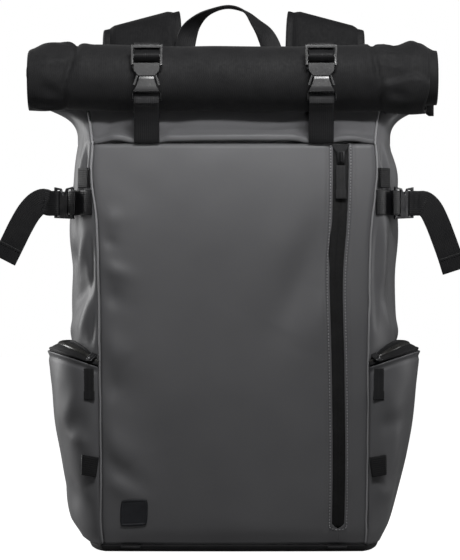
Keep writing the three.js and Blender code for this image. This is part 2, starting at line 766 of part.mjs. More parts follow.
function rollStraps() {
  for (const [side, sign] of SIDES) {
    const x = BUCKLE_X * sign;
    const parts = [
      [`buckle_prongs_${side}`, prongPart()],
      [`buckle_socket_${side}`, socketPart()],
    ];
    for (const [name, geometry] of parts) {
      const mesh = addMesh(name, geometry, PLASTIC);
      mesh.position.copy(buckleCentre().setX(x));
      mesh.rotation.x = -rad(BUCKLE_TILT);
    }
    addMesh(`roll_strap_${side}`, band(upperRoute(x), V(1, 0, 0), flatSection(WEB_W, WEB_T)), WEBBING);
    addMesh(`yoke_strap_${side}`, band(lowerRoute(x), V(1, 0, 0), flatSection(WEB_W, WEB_T)), WEBBING);
  }
}

// From behind the roll's foot, up over the roll and down through the ladder.
function upperRoute(x) {
  const [, lift] = readTable(ROLL_ENDS, (2 * BUCKLE_X) / ROLL_LENGTH);
  const over = ROLL_CLOTH / 2 + WEB_CLEAR + WEB_T / 2;
  const back = [V(x, SHEET_Y + over, MOUTH_Z + 2), V(x, SHEET_Y + over, ROLL_Z - 6)];
  const arc = steps(8).map((t) => {
    const turn = lerp(0.02, 0.33, t);
    const r = spiralRadius(turn) + over + 0.4;
    const a = turn * 2 * Math.PI;
    return V(x, ROLL_Y + r * Math.cos(a), ROLL_Z + r * Math.sin(a) + lift * ROLL_R);
  });
  const threaded = LADDER_ROUTE.map(([depth, along]) => onBuckle(x, depth, along));
  return [...back, ...arc, ...threaded];
}

// From the buckle's slot down to the seam on top of the front panel.
function lowerRoute(x) {
  const foot = frontAt(x, BODY_H).add(V(0, -WEB_T, 1));
  const off = BUCKLE_T / 4 + LAID + 0.1;
  const around = SOCKET_ROUTE.map(([share, along]) => onBuckle(x, share * off, along));
  return [...around, foot.clone().lerp(around.at(-1), 0.5), foot];
}

// Side compression straps

// A point beside the bag, t round the side and off its surface.
function besideAt(t, z, off) {
  const s = sectionAt(z);
  const p = sidePoint(s, t);
  const step = sidePoint(s, Math.min(t + 0.01, 1)).sub(sidePoint(s, Math.max(t - 0.01, 0)));
  return p.addScaledVector(V(step.y, -step.x, 0).normalize(), off);
}

const HOOK_BAR = 2.4; // width of the hook plate's bars
const HOOK_AT = 0.2; // place of the hook's inner bar round the side
const HOOK_TURN = 38; // degrees, how far the hook plate turns back from facing the front

// A plate with a bar for the webbing at each end and a notch for hooking on.
function hookGeometry() {
  const h = HOOK_H / 2;
  const slot = WEB_W / 2 + SLOT_CLEAR;
  const outline = [
    [0, -h],
    [HOOK_W, -h + 1.2],
    [HOOK_W, h],
    [0.66 * HOOK_W, h - 1.5],
    [0.52 * HOOK_W, h - 8],
    [0.37 * HOOK_W, h - 1.5],
    [0, h],
  ];
  const outer = slot - 0.2;
  const holes = [
    rect(HOOK_BAR, -slot, 3 * HOOK_BAR, slot),
    rect(HOOK_W - 3 * HOOK_BAR, -outer, HOOK_W - HOOK_BAR, outer),
  ];
  return plate(outline, holes, HOOK_T);
}

const hookOrigin = () => besideAt(HOOK_AT, HOOK_Z, LAID + HOOK_T + 2);
const onHook = (along, depth, rise) => {
  const turn = rad(HOOK_TURN);
  const o = hookOrigin();
  return V(
    o.x + along * Math.cos(turn) - depth * Math.sin(turn),
    o.y + along * Math.sin(turn) + depth * Math.cos(turn),
    o.z + rise,
  );
};

// Webbing round the inner bar of the hook plate. Columns: along the plate, depth behind it
const HOOK_BAR_LOOP = [
  [-5, LAID + HOOK_T],
  [1.2, LAID + 0.75 * HOOK_T],
  [2.1 * HOOK_BAR, 0.6 * HOOK_T],
  [2.1 * HOOK_BAR, -0.6 * HOOK_T],
  [1.2, -LAID - 0.75 * HOOK_T],
  [-5, -LAID - HOOK_T],
];

// Columns: outwards, backwards and down / TAIL_LENGTH
const TAIL_ROUTES = {
  left: [
    [0.06, 0.01, -0.03],
    [0.14, 0.02, 0.0],
    [0.24, 0.03, 0.1],
    [0.35, 0.04, 0.28],
    [0.46, 0.05, 0.5],
    [0.57, 0.06, 0.72],
  ],
  right: [
    [0.06, 0.01, 0.0],
    [0.14, 0.02, 0.07],
    [0.22, 0.03, 0.22],
    [0.3, 0.04, 0.42],
    [0.38, 0.05, 0.64],
    [0.45, 0.06, 0.86],
  ],
};

function sideStraps() {
  const laidAlong = (from, to, n, off) => steps(n).map((t) => besideAt(lerp(from, to, t), HOOK_Z, off));
  for (const [side, sign] of SIDES) {
    const place = (points) => points.map((p) => mirrorX(p, sign));
    const section = flatSection(WEB_W, WEB_T);
    const round = HOOK_BAR_LOOP.map(([along, depth]) => onHook(along, depth, 0));
    const anchor = [...laidAlong(0.015, 0.13, 3, LAID + 0.2), ...round.slice(1)];
    addMesh(`side_anchor_${side}`, band(place(anchor), UP, section), WEBBING);
    const hook = hookGeometry();
    const holder = new THREE.Group();
    holder.position.copy(mirrorX(hookOrigin(), sign));
    holder.rotation.z = sign > 0 ? rad(HOOK_TURN) : Math.PI - rad(HOOK_TURN);
    bag.add(holder);
    addMesh(`side_hook_${side}`, hook, METAL, holder);
    const back = HOOK_BAR_LOOP.map(([along, depth]) => onHook(HOOK_W - along, depth, 0));
    const start = back.at(-1);
    const tail = TAIL_ROUTES[side].map(([out, back, down]) =>
      start.clone().add(V(out, back, -down).multiplyScalar(TAIL_LENGTH)),
    );
    const route = [...laidAlong(0.97, 0.5, 10, LAID + 0.2), ...back, ...tail];
    addMesh(`side_strap_${side}`, band(place(route), UP, section), WEBBING);
    const z = HOOK_Z + WEB_W / 2 + KEEPER_H / 2 + 2;
    const root = besideAt(0.01, z, LAID + WEB_T);
    const out = besideAt(0.1, z, LAID + WEB_T).sub(root).normalize();
    foldedTab(`side_keeper_${side}`, mirrorX(root, sign), mirrorX(out, sign), UP, KEEPER_H, SIDE_TAB_OUT);
  }
}

// Grab handle and shoulder straps

const rootZ = BODY_H - ROOT_DROP;
const backY = () => sectionAt(rootZ).backY;

// Columns: across / half of HANDLE_SPAN, behind its ends / HANDLE_RISE, height / HANDLE_RISE
const HANDLE_ROUTE = [
  [-1.0, 0, 0],
  [-1.02, 0, 0.4],
  [-1.02, 0, 0.72],
  [-0.92, 0.01, 0.84],
  [-0.75, 0.01, 0.91],
  [-0.48, 0.02, 0.97],
  [-0.1, 0.02, 1.0],
  [0.25, 0.02, 0.965],
  [0.48, 0.01, 0.885],
  [0.68, 0.01, 0.8],
  [0.84, 0, 0.66],
  [0.98, 0, 0.35],
  [1.0, 0, 0],
];

function grabHandle() {
  const y = backY() + SEAM_GAP + HANDLE_T / 2;
  const points = HANDLE_ROUTE.map(([x, back, up]) =>
    V((x * HANDLE_SPAN) / 2, y + back * HANDLE_RISE, rootZ + up * HANDLE_RISE),
  );
  const path = smoothPath(points, 24);
  const twist = (t) => {
    const turn = THREE.MathUtils.smoothstep(0.5 - Math.abs(t - 0.5), 0.28, 0.5) * Math.PI * 0.5;
    return V(Math.cos(turn), Math.sin(turn), 0);
  };
  addMesh("grab_handle", band(path, twist, flatSection(HANDLE_W, HANDLE_T)), WEBBING);
}

// Columns: behind the root / STRAP_BACK, height from the root / STRAP_RISE, spread / STRAP_SPREAD
const STRAP_ROUTE = [
  [0.0, 0.0, 0.0],
  [0.02, 0.4, 0.06],
  [0.12, 0.76, 0.13],
  [0.38, 0.98, 0.18],
  [0.68, 0.93, 0.22],
  [0.9, 0.66, 0.28],
  [0.99, 0.2, 0.36],
  [1.0, -0.4, 0.5],
  [0.92, -1.0, 0.76],
  [0.72, -1.68, 1.0],
];

function shoulderStraps() {
  const rootY = backY() + 2 * SEAM_GAP + HANDLE_T + STRAP_T / 2;
  const endDrop = (rootZ - STRAP_END) / STRAP_RISE;
  for (const [side, sign] of SIDES) {
    const points = STRAP_ROUTE.map(([back, up, spread]) => {
      const height = up < 0 ? (up / 1.68) * endDrop : up;
      return V(
        sign * (STRAP_X + spread * STRAP_SPREAD),
        rootY + back * STRAP_BACK,
        rootZ + height * STRAP_RISE,
      );
    });
    const path = smoothPath(points, 20);
    const tilt = (t) => {
      const fall = rad(STRAP_TILT) * THREE.MathUtils.smoothstep(t, 0.02, 0.3);
      return V(Math.cos(fall), 0, -sign * Math.sin(fall) * (t < 0.6 ? 1 : 0.4));
    };
    addMesh(`shoulder_strap_${side}`, band(path, tilt, paddedSection(STRAP_W, STRAP_T)), BLACK_CLOTH);
    const end = path.at(-1);
    const down = end.clone().sub(path.at(-2)).normalize();
    adjuster(side, sign, end, down);
  }
}

// The ladder at the strap's lower end and its webbing down to the base.
function adjuster(side, sign, end, down) {
  const middle = end.clone().addScaledVector(down, ADJUSTER_H / 2 + SEAM_GAP);
  const w = ADJUSTER_W / 2;
  const h = ADJUSTER_H / 2;
  const slot = WEB_W / 2 + SLOT_CLEAR;
  const holes = [rect(-slot, 1.2, slot, h - 2), rect(-slot, 2 - h, slot, -1.2)];
  const mesh = addMesh(`strap_adjuster_${side}`, plate(rect(-w, -h, w, h), holes, ADJUSTER_T), PLASTIC);
  const turn = new THREE.Matrix4();
  const zAxis = down.clone().negate();
  const xAxis = V(1, 0, 0).addScaledVector(zAxis, -zAxis.x).normalize();
  const yAxis = zAxis.clone().cross(xAxis);
  turn.makeBasis(xAxis, yAxis, zAxis);
  mesh.setRotationFromMatrix(turn);
  mesh.position.copy(middle);
  const onIt = (depth, along) => middle.clone().addScaledVector(yAxis, depth).addScaledVector(zAxis, along);
  const anchorSection = sectionAt(ANCHOR_Z);
  const anchor = V(sign * 0.9 * anchorSection.backX, anchorSection.backY + LAID, ANCHOR_Z);
  const off = ADJUSTER_T / 2 + LAID + 0.1;
  const path = [
    onIt(off + 1, h - 0.6),
    onIt(off + 1, h - 1),
    onIt(-off, 1.4),
    onIt(-off, -1.4),
    onIt(off + 1, 1 - h),
    onIt(off + 1, -h - 3),
    anchor.clone().lerp(middle, 0.45).add(V(0, 0.06 * STRAP_BACK, 0)),
    anchor.clone().add(V(0, 2, 12)),
    anchor,
  ];
  addMesh(`shoulder_web_${side}`, band(path, V(1, 0, 0), flatSection(WEB_W, WEB_T)), WEBBING);
}

bodyPanels();
basePanel();
rollTop();
sidePockets();
pocketTapes();
frontZip();
pocketPullers();
frontPatch();
seamTabs();
rollStraps();
sideStraps();
grabHandle();
shoulderStraps();

export default bag;
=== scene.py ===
"""Looks of a closed rolltop backpack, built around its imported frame.

The frame is in metres, +Z up, front towards -Y. Sizes and places here are in millimetres,
and a Shape turns them into metres when it becomes a piece.
"""

import math

import bmesh
import bpy
import numpy as np
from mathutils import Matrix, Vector


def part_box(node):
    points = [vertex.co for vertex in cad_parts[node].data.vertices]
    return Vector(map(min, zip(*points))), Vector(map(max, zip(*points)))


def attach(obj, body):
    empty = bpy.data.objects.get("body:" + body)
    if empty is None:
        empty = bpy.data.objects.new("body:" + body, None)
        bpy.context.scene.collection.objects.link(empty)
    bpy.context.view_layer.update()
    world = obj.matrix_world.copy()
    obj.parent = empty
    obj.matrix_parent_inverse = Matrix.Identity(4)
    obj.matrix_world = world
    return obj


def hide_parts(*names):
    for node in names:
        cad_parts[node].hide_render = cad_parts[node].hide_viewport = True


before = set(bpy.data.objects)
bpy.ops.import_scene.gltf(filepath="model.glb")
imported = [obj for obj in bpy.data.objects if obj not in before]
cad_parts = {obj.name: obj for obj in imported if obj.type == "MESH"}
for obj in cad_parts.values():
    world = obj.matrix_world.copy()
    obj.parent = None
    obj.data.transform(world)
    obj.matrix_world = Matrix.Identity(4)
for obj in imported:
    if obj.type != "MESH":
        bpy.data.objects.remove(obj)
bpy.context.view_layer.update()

MM = 0.001


def node_box(node):
    """Lowest and highest corner of a CAD node, in millimetres."""
    return [np.array(corner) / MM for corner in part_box(node)]


# Gaps in seams, under the base and under webbing that lies on cloth
SEAM_GAP = 0.3
FLOOR_GAP = 0.2
LAY_GAP = 0.4

# Sizes taken from the frame
BODY_H = node_box("front_panel")[1][2] + SEAM_GAP / 2
MOUTH_Z = node_box("yoke_front")[1][2]
ROLL_LENGTH = node_box("roll_top")[1][0] * 2

# Sizes of the bag, as in its CAD source
FRONT_W = 270
BODY_W = 318
BODY_D = 130
FRONT_BULGE = 6
FABRIC = 2
BACK_PAD = 8
BASE_T = 3
BASE_RIM = 7
BASE_EDGE = 5
NECK_RISE = MOUTH_Z - BODY_H
MOUTH_D = 10
ROLL_R = 33
ROLL_PITCH = 5.5
ROLL_TURNS = 3
ROLL_CLOTH = 3
ROLL_Z = BODY_H + 61.5
ROLL_Y = -30
SHEET_Y = ROLL_Y + ROLL_R
POCKET_H = 190
POCKET_DIP = 14
POCKET_OUT = 21
TAPE_RISE = 8
TAPE_T = 1.2
ZIP_BOTTOM = 24
WEB_W = 24
WEB_T = 1.5
LAID = LAY_GAP + WEB_T / 2
BUCKLE_X = 83
BUCKLE_TILT = math.radians(12)
BUCKLE_T = 8
BUCKLE_DROP = 4.4
HOOK_W = 24
HOOK_T = 2.4
HOOK_Z = BODY_H - 57
HOOK_BAR = 2.4
HOOK_AT = 0.2
HOOK_TURN = math.radians(38)
TAIL_LENGTH = 76
KEEPER_H = 19
SIDE_TAB_Z = 88
SIDE_TAB_H = 19
SIDE_TAB_OUT = 15
BASE_TAB_X = 98
BASE_TAB_W = 19
BASE_TAB_OUT = 6
HANDLE_W = 20
HANDLE_T = 2.6
HANDLE_SPAN = 96
HANDLE_RISE = 149
STRAP_W = 76
STRAP_T = 12
STRAP_X = 88
STRAP_RISE = 138
STRAP_BACK = 52
STRAP_END = 178
STRAP_SPREAD = 26
STRAP_TILT = math.radians(15)
ROOT_DROP = 6
ANCHOR_Z = 26
ADJUSTER_H = 20
ADJUSTER_T = 2.4
PATCH_SIDE = 26
PATCH_T = 1.4
PATCH_X = -95
PATCH_Z = 38
PULLER_W = 9.4
PULLER_L = 32
PULLER_T = 1.3
PULLER_AT = 0.04

# Columns: height / BODY_H, front seam / FRONT_W, side / BODY_W, front seam depth / BODY_D,
# bulge / FRONT_BULGE, back seam / BODY_W, back depth / BODY_D
BODY_LEVELS = [
    [0.018, 0.463, 0.441, -0.47, 0.4, 0.4, 0.46],
    [0.06, 0.468, 0.454, -0.5, 0.7, 0.415, 0.48],
    [0.17, 0.468, 0.472, -0.53, 1.0, 0.425, 0.495],
    [0.34, 0.47, 0.487, -0.545, 1.1, 0.43, 0.5],
    [0.51, 0.4725, 0.496, -0.535, 1.0, 0.435, 0.5],
    [0.67, 0.477, 0.488, -0.515, 1.0, 0.44, 0.5],
    [0.8, 0.484, 0.5, -0.49, 0.9, 0.44, 0.5],
    [0.92, 0.504, 0.492, -0.46, 0.8, 0.44, 0.49],
    [1.0, 0.4995, 0.478, -0.435, 0.6, 0.435, 0.48],
]
# Columns: rise / NECK_RISE, then how far the front, the sides and the back have closed
NECK_LEVELS = [
    [0, 0, 0, 0],
    [0.325, 0.245, 0.04, 0.06],
    [0.575, 0.49, 0.18, 0.22],
    [0.75, 0.71, 0.42, 0.46],
    [1, 1, 1, 1],
]
# Columns: height / pocket rim, how far the pocket stands out / POCKET_OUT
POCKET_LEVELS = [
    [0.04, 0],
    [0.12, 0.17],
    [0.24, 0.37],
    [0.38, 0.58],
    [0.54, 0.76],
    [0.7, 0.92],
    [0.85, 1.0],
    [1, 1.0],
]
# Columns: place / half length, radius scale, lift / ROLL_R
ROLL_ENDS = [
    [0, 1, 0],
    [0.4, 1, 0.01],
    [0.72, 1.0, 0.03],
    [0.83, 0.97, 0.03],
    [0.92, 1.04, 0.05],
    [1, 1.0, 0.03],
]

UP = np.array([0.0, 0.0, 1.0])
ACROSS = np.array([1.0, 0.0, 0.0])
FRONT = np.array([0.0, -1.0, 0.0])
SIDES = [("left", -1), ("right", 1)]


# Curves and surfaces of the bag


def vec(x, y, z):
    return np.stack(np.broadcast_arrays(x, y, z), -1).astype(float)


def unit(v):
    return v / np.maximum(np.linalg.norm(v, axis=-1, keepdims=True), 1e-9)


def smoothstep(x, low, high):
    t = np.clip((x - low) / (high - low), 0, 1)
    return t * t * (3 - 2 * t)


def hill(x, middle, width, power=2):
    """1 at the middle, falling softly to 0 on both sides."""
    return np.exp(-(((x - middle) / width) ** power))


def read_table(table, at):
    """Smooth reading of a table: its first column is the place, and the rest are values."""
    table = np.asarray(table, float)
    places, values = table[:, 0], table[:, 1:]
    at = np.asarray(at, float)
    last = len(places) - 1
    k = np.searchsorted(places[1:-1], at, side="left")
    before, after = np.maximum(k - 1, 0), np.minimum(k + 2, last)
    span = places[k + 1] - places[k]
    t = np.clip((at - places[k]) / span, 0, 1)
    gap1 = places[k + 1] - places[before]
    gap2 = places[after] - places[k]
    out = []
    for column in values.T:
        v1, v2 = column[k], column[k + 1]
        m1 = (v2 - column[before]) / gap1 * span
        m2 = (column[after] - v1) / gap2 * span
        t2, t3 = t * t, t * t * t
        out.append(
            (2 * t3 - 3 * t2 + 1) * v1 + (t3 - 2 * t2 + t) * m1 + (3 * t2 - 2 * t3) * v2 + (t3 - t2) * m2
        )
    return out


def section_at(z):
    """The corners of the bag's section at height z."""
    z = np.asarray(z, float)
    front_x, side_x, front_y, bulge, back_x, back_y = read_table(BODY_LEVELS, np.minimum(z / BODY_H, 1))
    front, side, back = read_table(NECK_LEVELS, np.clip((z - BODY_H) / NECK_RISE, 0, 1))
    front_x, front_y, bulge = front_x * FRONT_W, front_y * BODY_D, bulge * FRONT_BULGE
    side_x, back_x, back_y = side_x * BODY_W, back_x * BODY_W, back_y * BODY_D
    return {
        "z": z,
        "front_x": front_x + (0.53 * FRONT_W - front_x) * front,
        "side_x": side_x + (ROLL_LENGTH / 2 - FABRIC - side_x) * side,
        "back_x": back_x + (0.47 * BODY_W - back_x) * back,
        "front_y": front_y + (SHEET_Y - MOUTH_D / 2 - front_y) * front,
        "back_y": back_y + (SHEET_Y + MOUTH_D / 2 - back_y) * back,
        "bulge": bulge * (1 - front),
    }


def front_at(x, z):
    s = section_at(z)
    return vec(x, s["front_y"] - s["bulge"] * (1 - (x / s["front_x"]) ** 2), z)


def side_point(s, t):
    """A point of the right side, t = 0 at the front seam and 1 at the back seam."""
    pull = (8 * s["side_x"] - s["front_x"] - s["back_x"]) / 6
    depth = s["back_y"] - s["front_y"]
    u = 1 - t
    a, b, c, d = u**3, 3 * u * u * t, 3 * u * t * t, t**3
    x = a * s["front_x"] + (b + c) * pull + d * s["back_x"]
    y = a * s["front_y"] + b * (s["front_y"] + 0.16 * depth)
    y = y + c * (s["back_y"] - 0.14 * depth) + d * s["back_y"]
    return vec(x, y, s["z"])


def beside(t, z, off):
    """A point off the right side, t round it."""
    t, z = np.broadcast_arrays(np.asarray(t, float), np.asarray(z, float))
    s = section_at(z)
    step = side_point(s, np.minimum(t + 0.01, 1)) - side_point(s, np.maximum(t - 0.01, 0))
    normal = unit(vec(step[..., 1], -step[..., 0], 0))
    return side_point(s, t) + normal * np.asarray(off, float)[..., None]


def rim_height(t):
    return POCKET_H - POCKET_DIP * np.maximum(0, 1 - t / 0.35) ** 2


def outwards(t):
    return 1 - np.abs(2 * t - 1) ** 4


def pocket_point(t, v, extra):
    """A point of the right pocket, t round the side and at share v of the rim's height."""
    (out,) = read_table(POCKET_LEVELS, v)
    return beside(t, v * rim_height(t), SEAM_GAP + out * POCKET_OUT * outwards(t) + extra)


def tape_point(t, w, lift):
    """A point of the zip over the right pocket, w = 0 at the rim and 1 at the side panel."""
    rim = pocket_point(t, 1.0 + 0 * t, FABRIC / 2)
    z = rim[..., 2] + TAPE_RISE * (0.4 + 0.6 * outwards(t))
    seat = beside(t, z, SEAM_GAP)
    w = np.asarray(w, float)
    p = rim + (seat - rim) * w[..., None]
    p[..., 2] = rim[..., 2] + (z - rim[..., 2]) * np.sqrt(w) + SEAM_GAP + lift
    return p


def ridges(u, v, table):
    """Height at (u, v) of soft ridges. Columns: u and v of each end, width, height."""
    total = 0 * (u + v)
    for u0, v0, u1, v1, width, height in table:
        du, dv = u1 - u0, v1 - v0
        share = np.clip(((u - u0) * du + (v - v0) * dv) / (du * du + dv * dv), 0, 1)
        away = (u - u0 - share * du) ** 2 + (v - v0 - share * dv) ** 2
        total = total + height * (0.3 + 0.7 * np.sin(np.pi * share)) * np.exp(-away / width**2)
    return total


def ripple(u, v, length, phase):
    """A slow uneven swell between about -1 and 1, the same on every run."""
    a, b = u * 2 * np.pi / length, v * 2 * np.pi / length
    return (
        np.sin(a + 0.7 * b + phase)
        + np.sin(0.6 * a - 1.1 * b + 2.1 * phase)
        + 0.6 * np.sin(1.9 * a + 0.4 * b + 3.7 * phase)
        + 0.5 * np.sin(0.3 * a + 1.7 * b - 1.3 * phase)
    ) / 3.1


def catmull(points, step):
    """A smooth path through points, with evenly spaced points about step apart."""
    points = np.asarray(points, float)
    ends = [2 * points[0] - points[1], *points, 2 * points[-1] - points[-2]]
    fine = []
    for p0, p1, p2, p3 in zip(ends, ends[1:], ends[2:], ends[3:]):
        t0, t1 = 0.0, np.linalg.norm(p1 - p0) ** 0.5 + 1e-6
        t2 = t1 + np.linalg.norm(p2 - p1) ** 0.5 + 1e-6
        t3 = t2 + np.linalg.norm(p3 - p2) ** 0.5 + 1e-6
        t = np.linspace(t1, t2, 16, endpoint=False)[:, None]
        a1 = (t1 - t) / (t1 - t0) * p0 + (t - t0) / (t1 - t0) * p1
        a2 = (t2 - t) / (t2 - t1) * p1 + (t - t1) / (t2 - t1) * p2
        a3 = (t3 - t) / (t3 - t2) * p2 + (t - t2) / (t3 - t2) * p3
        b1 = (t2 - t) / (t2 - t0) * a1 + (t - t0) / (t2 - t0) * a2
        b2 = (t3 - t) / (t3 - t1) * a2 + (t - t1) / (t3 - t1) * a3
        fine.extend((t2 - t) / (t2 - t1) * b1 + (t - t1) / (t2 - t1) * b2)
    return evenly(np.array([*fine, points[-1]]), step)


def lengths(path):
    return np.concatenate([[0], np.cumsum(np.linalg.norm(np.diff(path, axis=0), axis=1))])


def evenly(path, step):
    """The same path with its points evenly spaced, about step apart."""
    path = np.asarray(path, float)
    run = lengths(path)
    at = np.linspace(0, run[-1], max(int(round(run[-1] / step)), 2) + 1)
    return np.stack([np.interp(at, run, column) for column in path.T], -1)


def grid_normals(points):
    """Unit normals of a grid whose rows go up and whose columns go anticlockwise seen from above."""
    return unit(np.cross(np.gradient(points, axis=1), np.gradient(points, axis=0)))


def cloth_coordinates(points):
    """Lengths along the columns and rows of a grid, in millimetres."""
    across = np.zeros(points.shape[:2])
    along = np.zeros(points.shape[:2])
    across[:, 1:] = np.cumsum(np.linalg.norm(np.diff(points, axis=1), axis=-1), axis=1)
    along[1:] = np.cumsum(np.linalg.norm(np.diff(points, axis=0), axis=-1), axis=0)
    return vec(across, along, 0)


# Finishes


def new_material(name, **sockets):
    material = bpy.data.materials.new(name)
    material.use_nodes = True
    shader = material.node_tree.nodes["Principled BSDF"]
    for socket, value in sockets.items():
        shader.inputs[socket.replace("_", " ")].default_value = value
    return material, material.node_tree, shader


def add_node(tree, kind, inputs=(), **settings):
    node = tree.nodes.new("ShaderNode" + kind)
    for name, value in settings.items():
        setattr(node, name, value)
    for socket, value in dict(inputs).items():
        if isinstance(value, bpy.types.NodeSocket):
            tree.links.new(value, node.inputs[socket])
        else:
            node.inputs[socket].default_value = value
    return node


def maths(tree, operation, a, b=0.0):
    return add_node(tree, "Math", {0: a, 1: b}, operation=operation).outputs[0]


def noise(tree, scale, detail=3.0, stretch=(1, 1, 1)):
    """Noise in the bag's own frame. scale is in features a metre."""
    place = add_node(tree, "TexCoord").outputs["Object"]
    if stretch != (1, 1, 1):
        place = add_node(tree, "Mapping", {"Vector": place, "Scale": stretch}).outputs[0]
    return add_node(tree, "TexNoise", {"Vector": place, "Scale": scale, "Detail": detail}).outputs[0]


def spread(tree, value, low, high, start=0.3, stop=0.7):
    node = add_node(
        tree, "MapRange", {"Value": value, "From Min": start, "From Max": stop, "To Min": low, "To Max": high}
    )
    return node.outputs[0]


def mix_colour(tree, share, first, second):
    node = tree.nodes.new("ShaderNodeMix")
    node.data_type = "RGBA"
    tree.links.new(share, node.inputs[0])
    for socket, value in ((node.inputs[6], first), (node.inputs[7], second)):
        if isinstance(value, bpy.types.NodeSocket):
            tree.links.new(value, socket)
        else:
            socket.default_value = (*value, 1)
    return node.outputs[2]


def bump(tree, height, strength, distance, under=None):
    inputs = {"Height": height, "Strength": strength, "Distance": distance * MM}
    if under is not None:
        inputs["Normal"] = under
    return add_node(tree, "Bump", inputs).outputs[0]


def thread_waves(tree, across_pitch, along_pitch):
    """Two sets of threads from the cloth attribute, each between 0 and 1."""
    place = add_node(tree, "Attribute", attribute_name="cloth").outputs["Vector"]
    split = add_node(tree, "SeparateXYZ", {0: place})
    waves = []
    for socket, pitch in ((0, across_pitch), (1, along_pitch)):
        turned = maths(tree, "MULTIPLY", split.outputs[socket], 2 * math.pi / pitch)
        waves.append(maths(tree, "MULTIPLY_ADD", maths(tree, "SINE", turned), 0.5))
        waves[-1].node.inputs[2].default_value = 0.5
    return waves


def link(tree, shader, **sockets):
    for socket, value in sockets.items():
        tree.links.new(value, shader.inputs[socket.replace("_", " ")])


def coated_fabric(name, dark, light):
    material, tree, shader = new_material(
        name, Specular_IOR_Level=0.35, Coat_Weight=0.06, Coat_Roughness=0.4, Sheen_Weight=0.03
    )
    colour = mix_colour(tree, spread(tree, noise(tree, 9, 3), 0, 1), dark, light)
    rough = spread(tree, noise(tree, 34, 4), 0.48, 0.57)
    grain = bump(tree, noise(tree, 1500, 2), 0.18, 0.12)
    normal = bump(tree, noise(tree, 160, 4), 0.25, 0.25, grain)
    link(tree, shader, Base_Color=colour, Roughness=rough, Normal=normal)
    return material


def woven(name, dark, light, across_pitch, along_pitch, depth, rough, sheen):
    """A woven cloth or webbing: threads one way show more than the other way.

    dark and light are near greys, with red and green in one number and then blue.
    """
    material, tree, shader = new_material(
        name, Specular_IOR_Level=0.28, Sheen_Weight=sheen, Sheen_Roughness=0.45
    )
    ribs, picks = thread_waves(tree, across_pitch, along_pitch)
    weave = maths(tree, "ADD", maths(tree, "MULTIPLY", ribs, 0.7), maths(tree, "MULTIPLY", picks, 0.3))
    worn = spread(tree, noise(tree, 70, 4), 0, 1)
    tone = maths(tree, "ADD", maths(tree, "MULTIPLY", weave, 0.45), maths(tree, "MULTIPLY", worn, 0.55))
    colour = mix_colour(tree, tone, (dark[0], *dark), (light[0], *light))
    fuzz = noise(tree, 2400, 2)
    height = maths(tree, "ADD", weave, maths(tree, "MULTIPLY", fuzz, 0.35))
    normal = bump(tree, height, 0.6, depth, bump(tree, noise(tree, 120, 3), 0.2, 0.4))
    roughness = spread(tree, noise(tree, 300, 3), rough - 0.06, rough + 0.06)
    link(tree, shader, Base_Color=colour, Roughness=roughness, Normal=normal)
    return material


def solid(name, dark, light, mottling, gloss, grain, sockets):
    """A material without a weave.

    mottling is the noise of its colour, gloss the noise and range of its roughness,
    and grain the noise, strength and depth of its bumps.
    """
    material, tree, shader = new_material(name, **sockets)
    colour = mix_colour(tree, spread(tree, noise(tree, *mottling), 0, 1), dark, light)
    rough = spread(tree, noise(tree, *gloss[0]), *gloss[1:])
    normal = bump(tree, noise(tree, *grain[0]), *grain[1:])
    link(tree, shader, Base_Color=colour, Roughness=rough, Normal=normal)
    return material


# Columns: finish, slot, then name, dark, light, pitch across and along, depth, roughness, sheen
WOVEN = [
    ["oxford", "black_oxford", "oxford cloth", (0.008, 0.009), (0.02, 0.021), 1.7, 1.1, 0.16, 0.72, 0.06],
    ["strap", "black_oxford", "strap cloth", (0.004, 0.005), (0.011, 0.012), 1.7, 1.1, 0.2, 0.75, 0.03],
    ["mesh", "black_oxford", "air mesh", (0.006, 0.006), (0.018, 0.019), 2.6, 2.6, 0.5, 0.85, 0.06],
    ["webbing", "black_webbing", "webbing", (0.005, 0.006), (0.014, 0.015), 2.0, 1.3, 0.28, 0.6, 0.04],
    ["grosgrain", "black_webbing", "grosgrain", (0.008, 0.009), (0.02, 0.021), 4.0, 1.0, 0.2, 0.6, 0.04],
    # glossy webbing: rougher finish removed, and a colour darker than the webbing's that is painted shade on
    # the side anchors facing the left lamp
    ["tab", "black_webbing", "glossy webbing", (0.004, 0.005), (0.011, 0.012), 2.0, 1.3, 0.14, 0.42, 0.0],
    ["binding", "black_webbing", "binding tape", (0.004, 0.005), (0.012, 0.013), 1.6, 1.0, 0.16, 0.65, 0.03],
    ["tape", "zip_tape", "zip tape", (0.003, 0.003), (0.01, 0.011), 1.2, 0.9, 0.14, 0.7, 0.02],
]
SCRATCHES = (900, 4, (1, 1, 0.08))
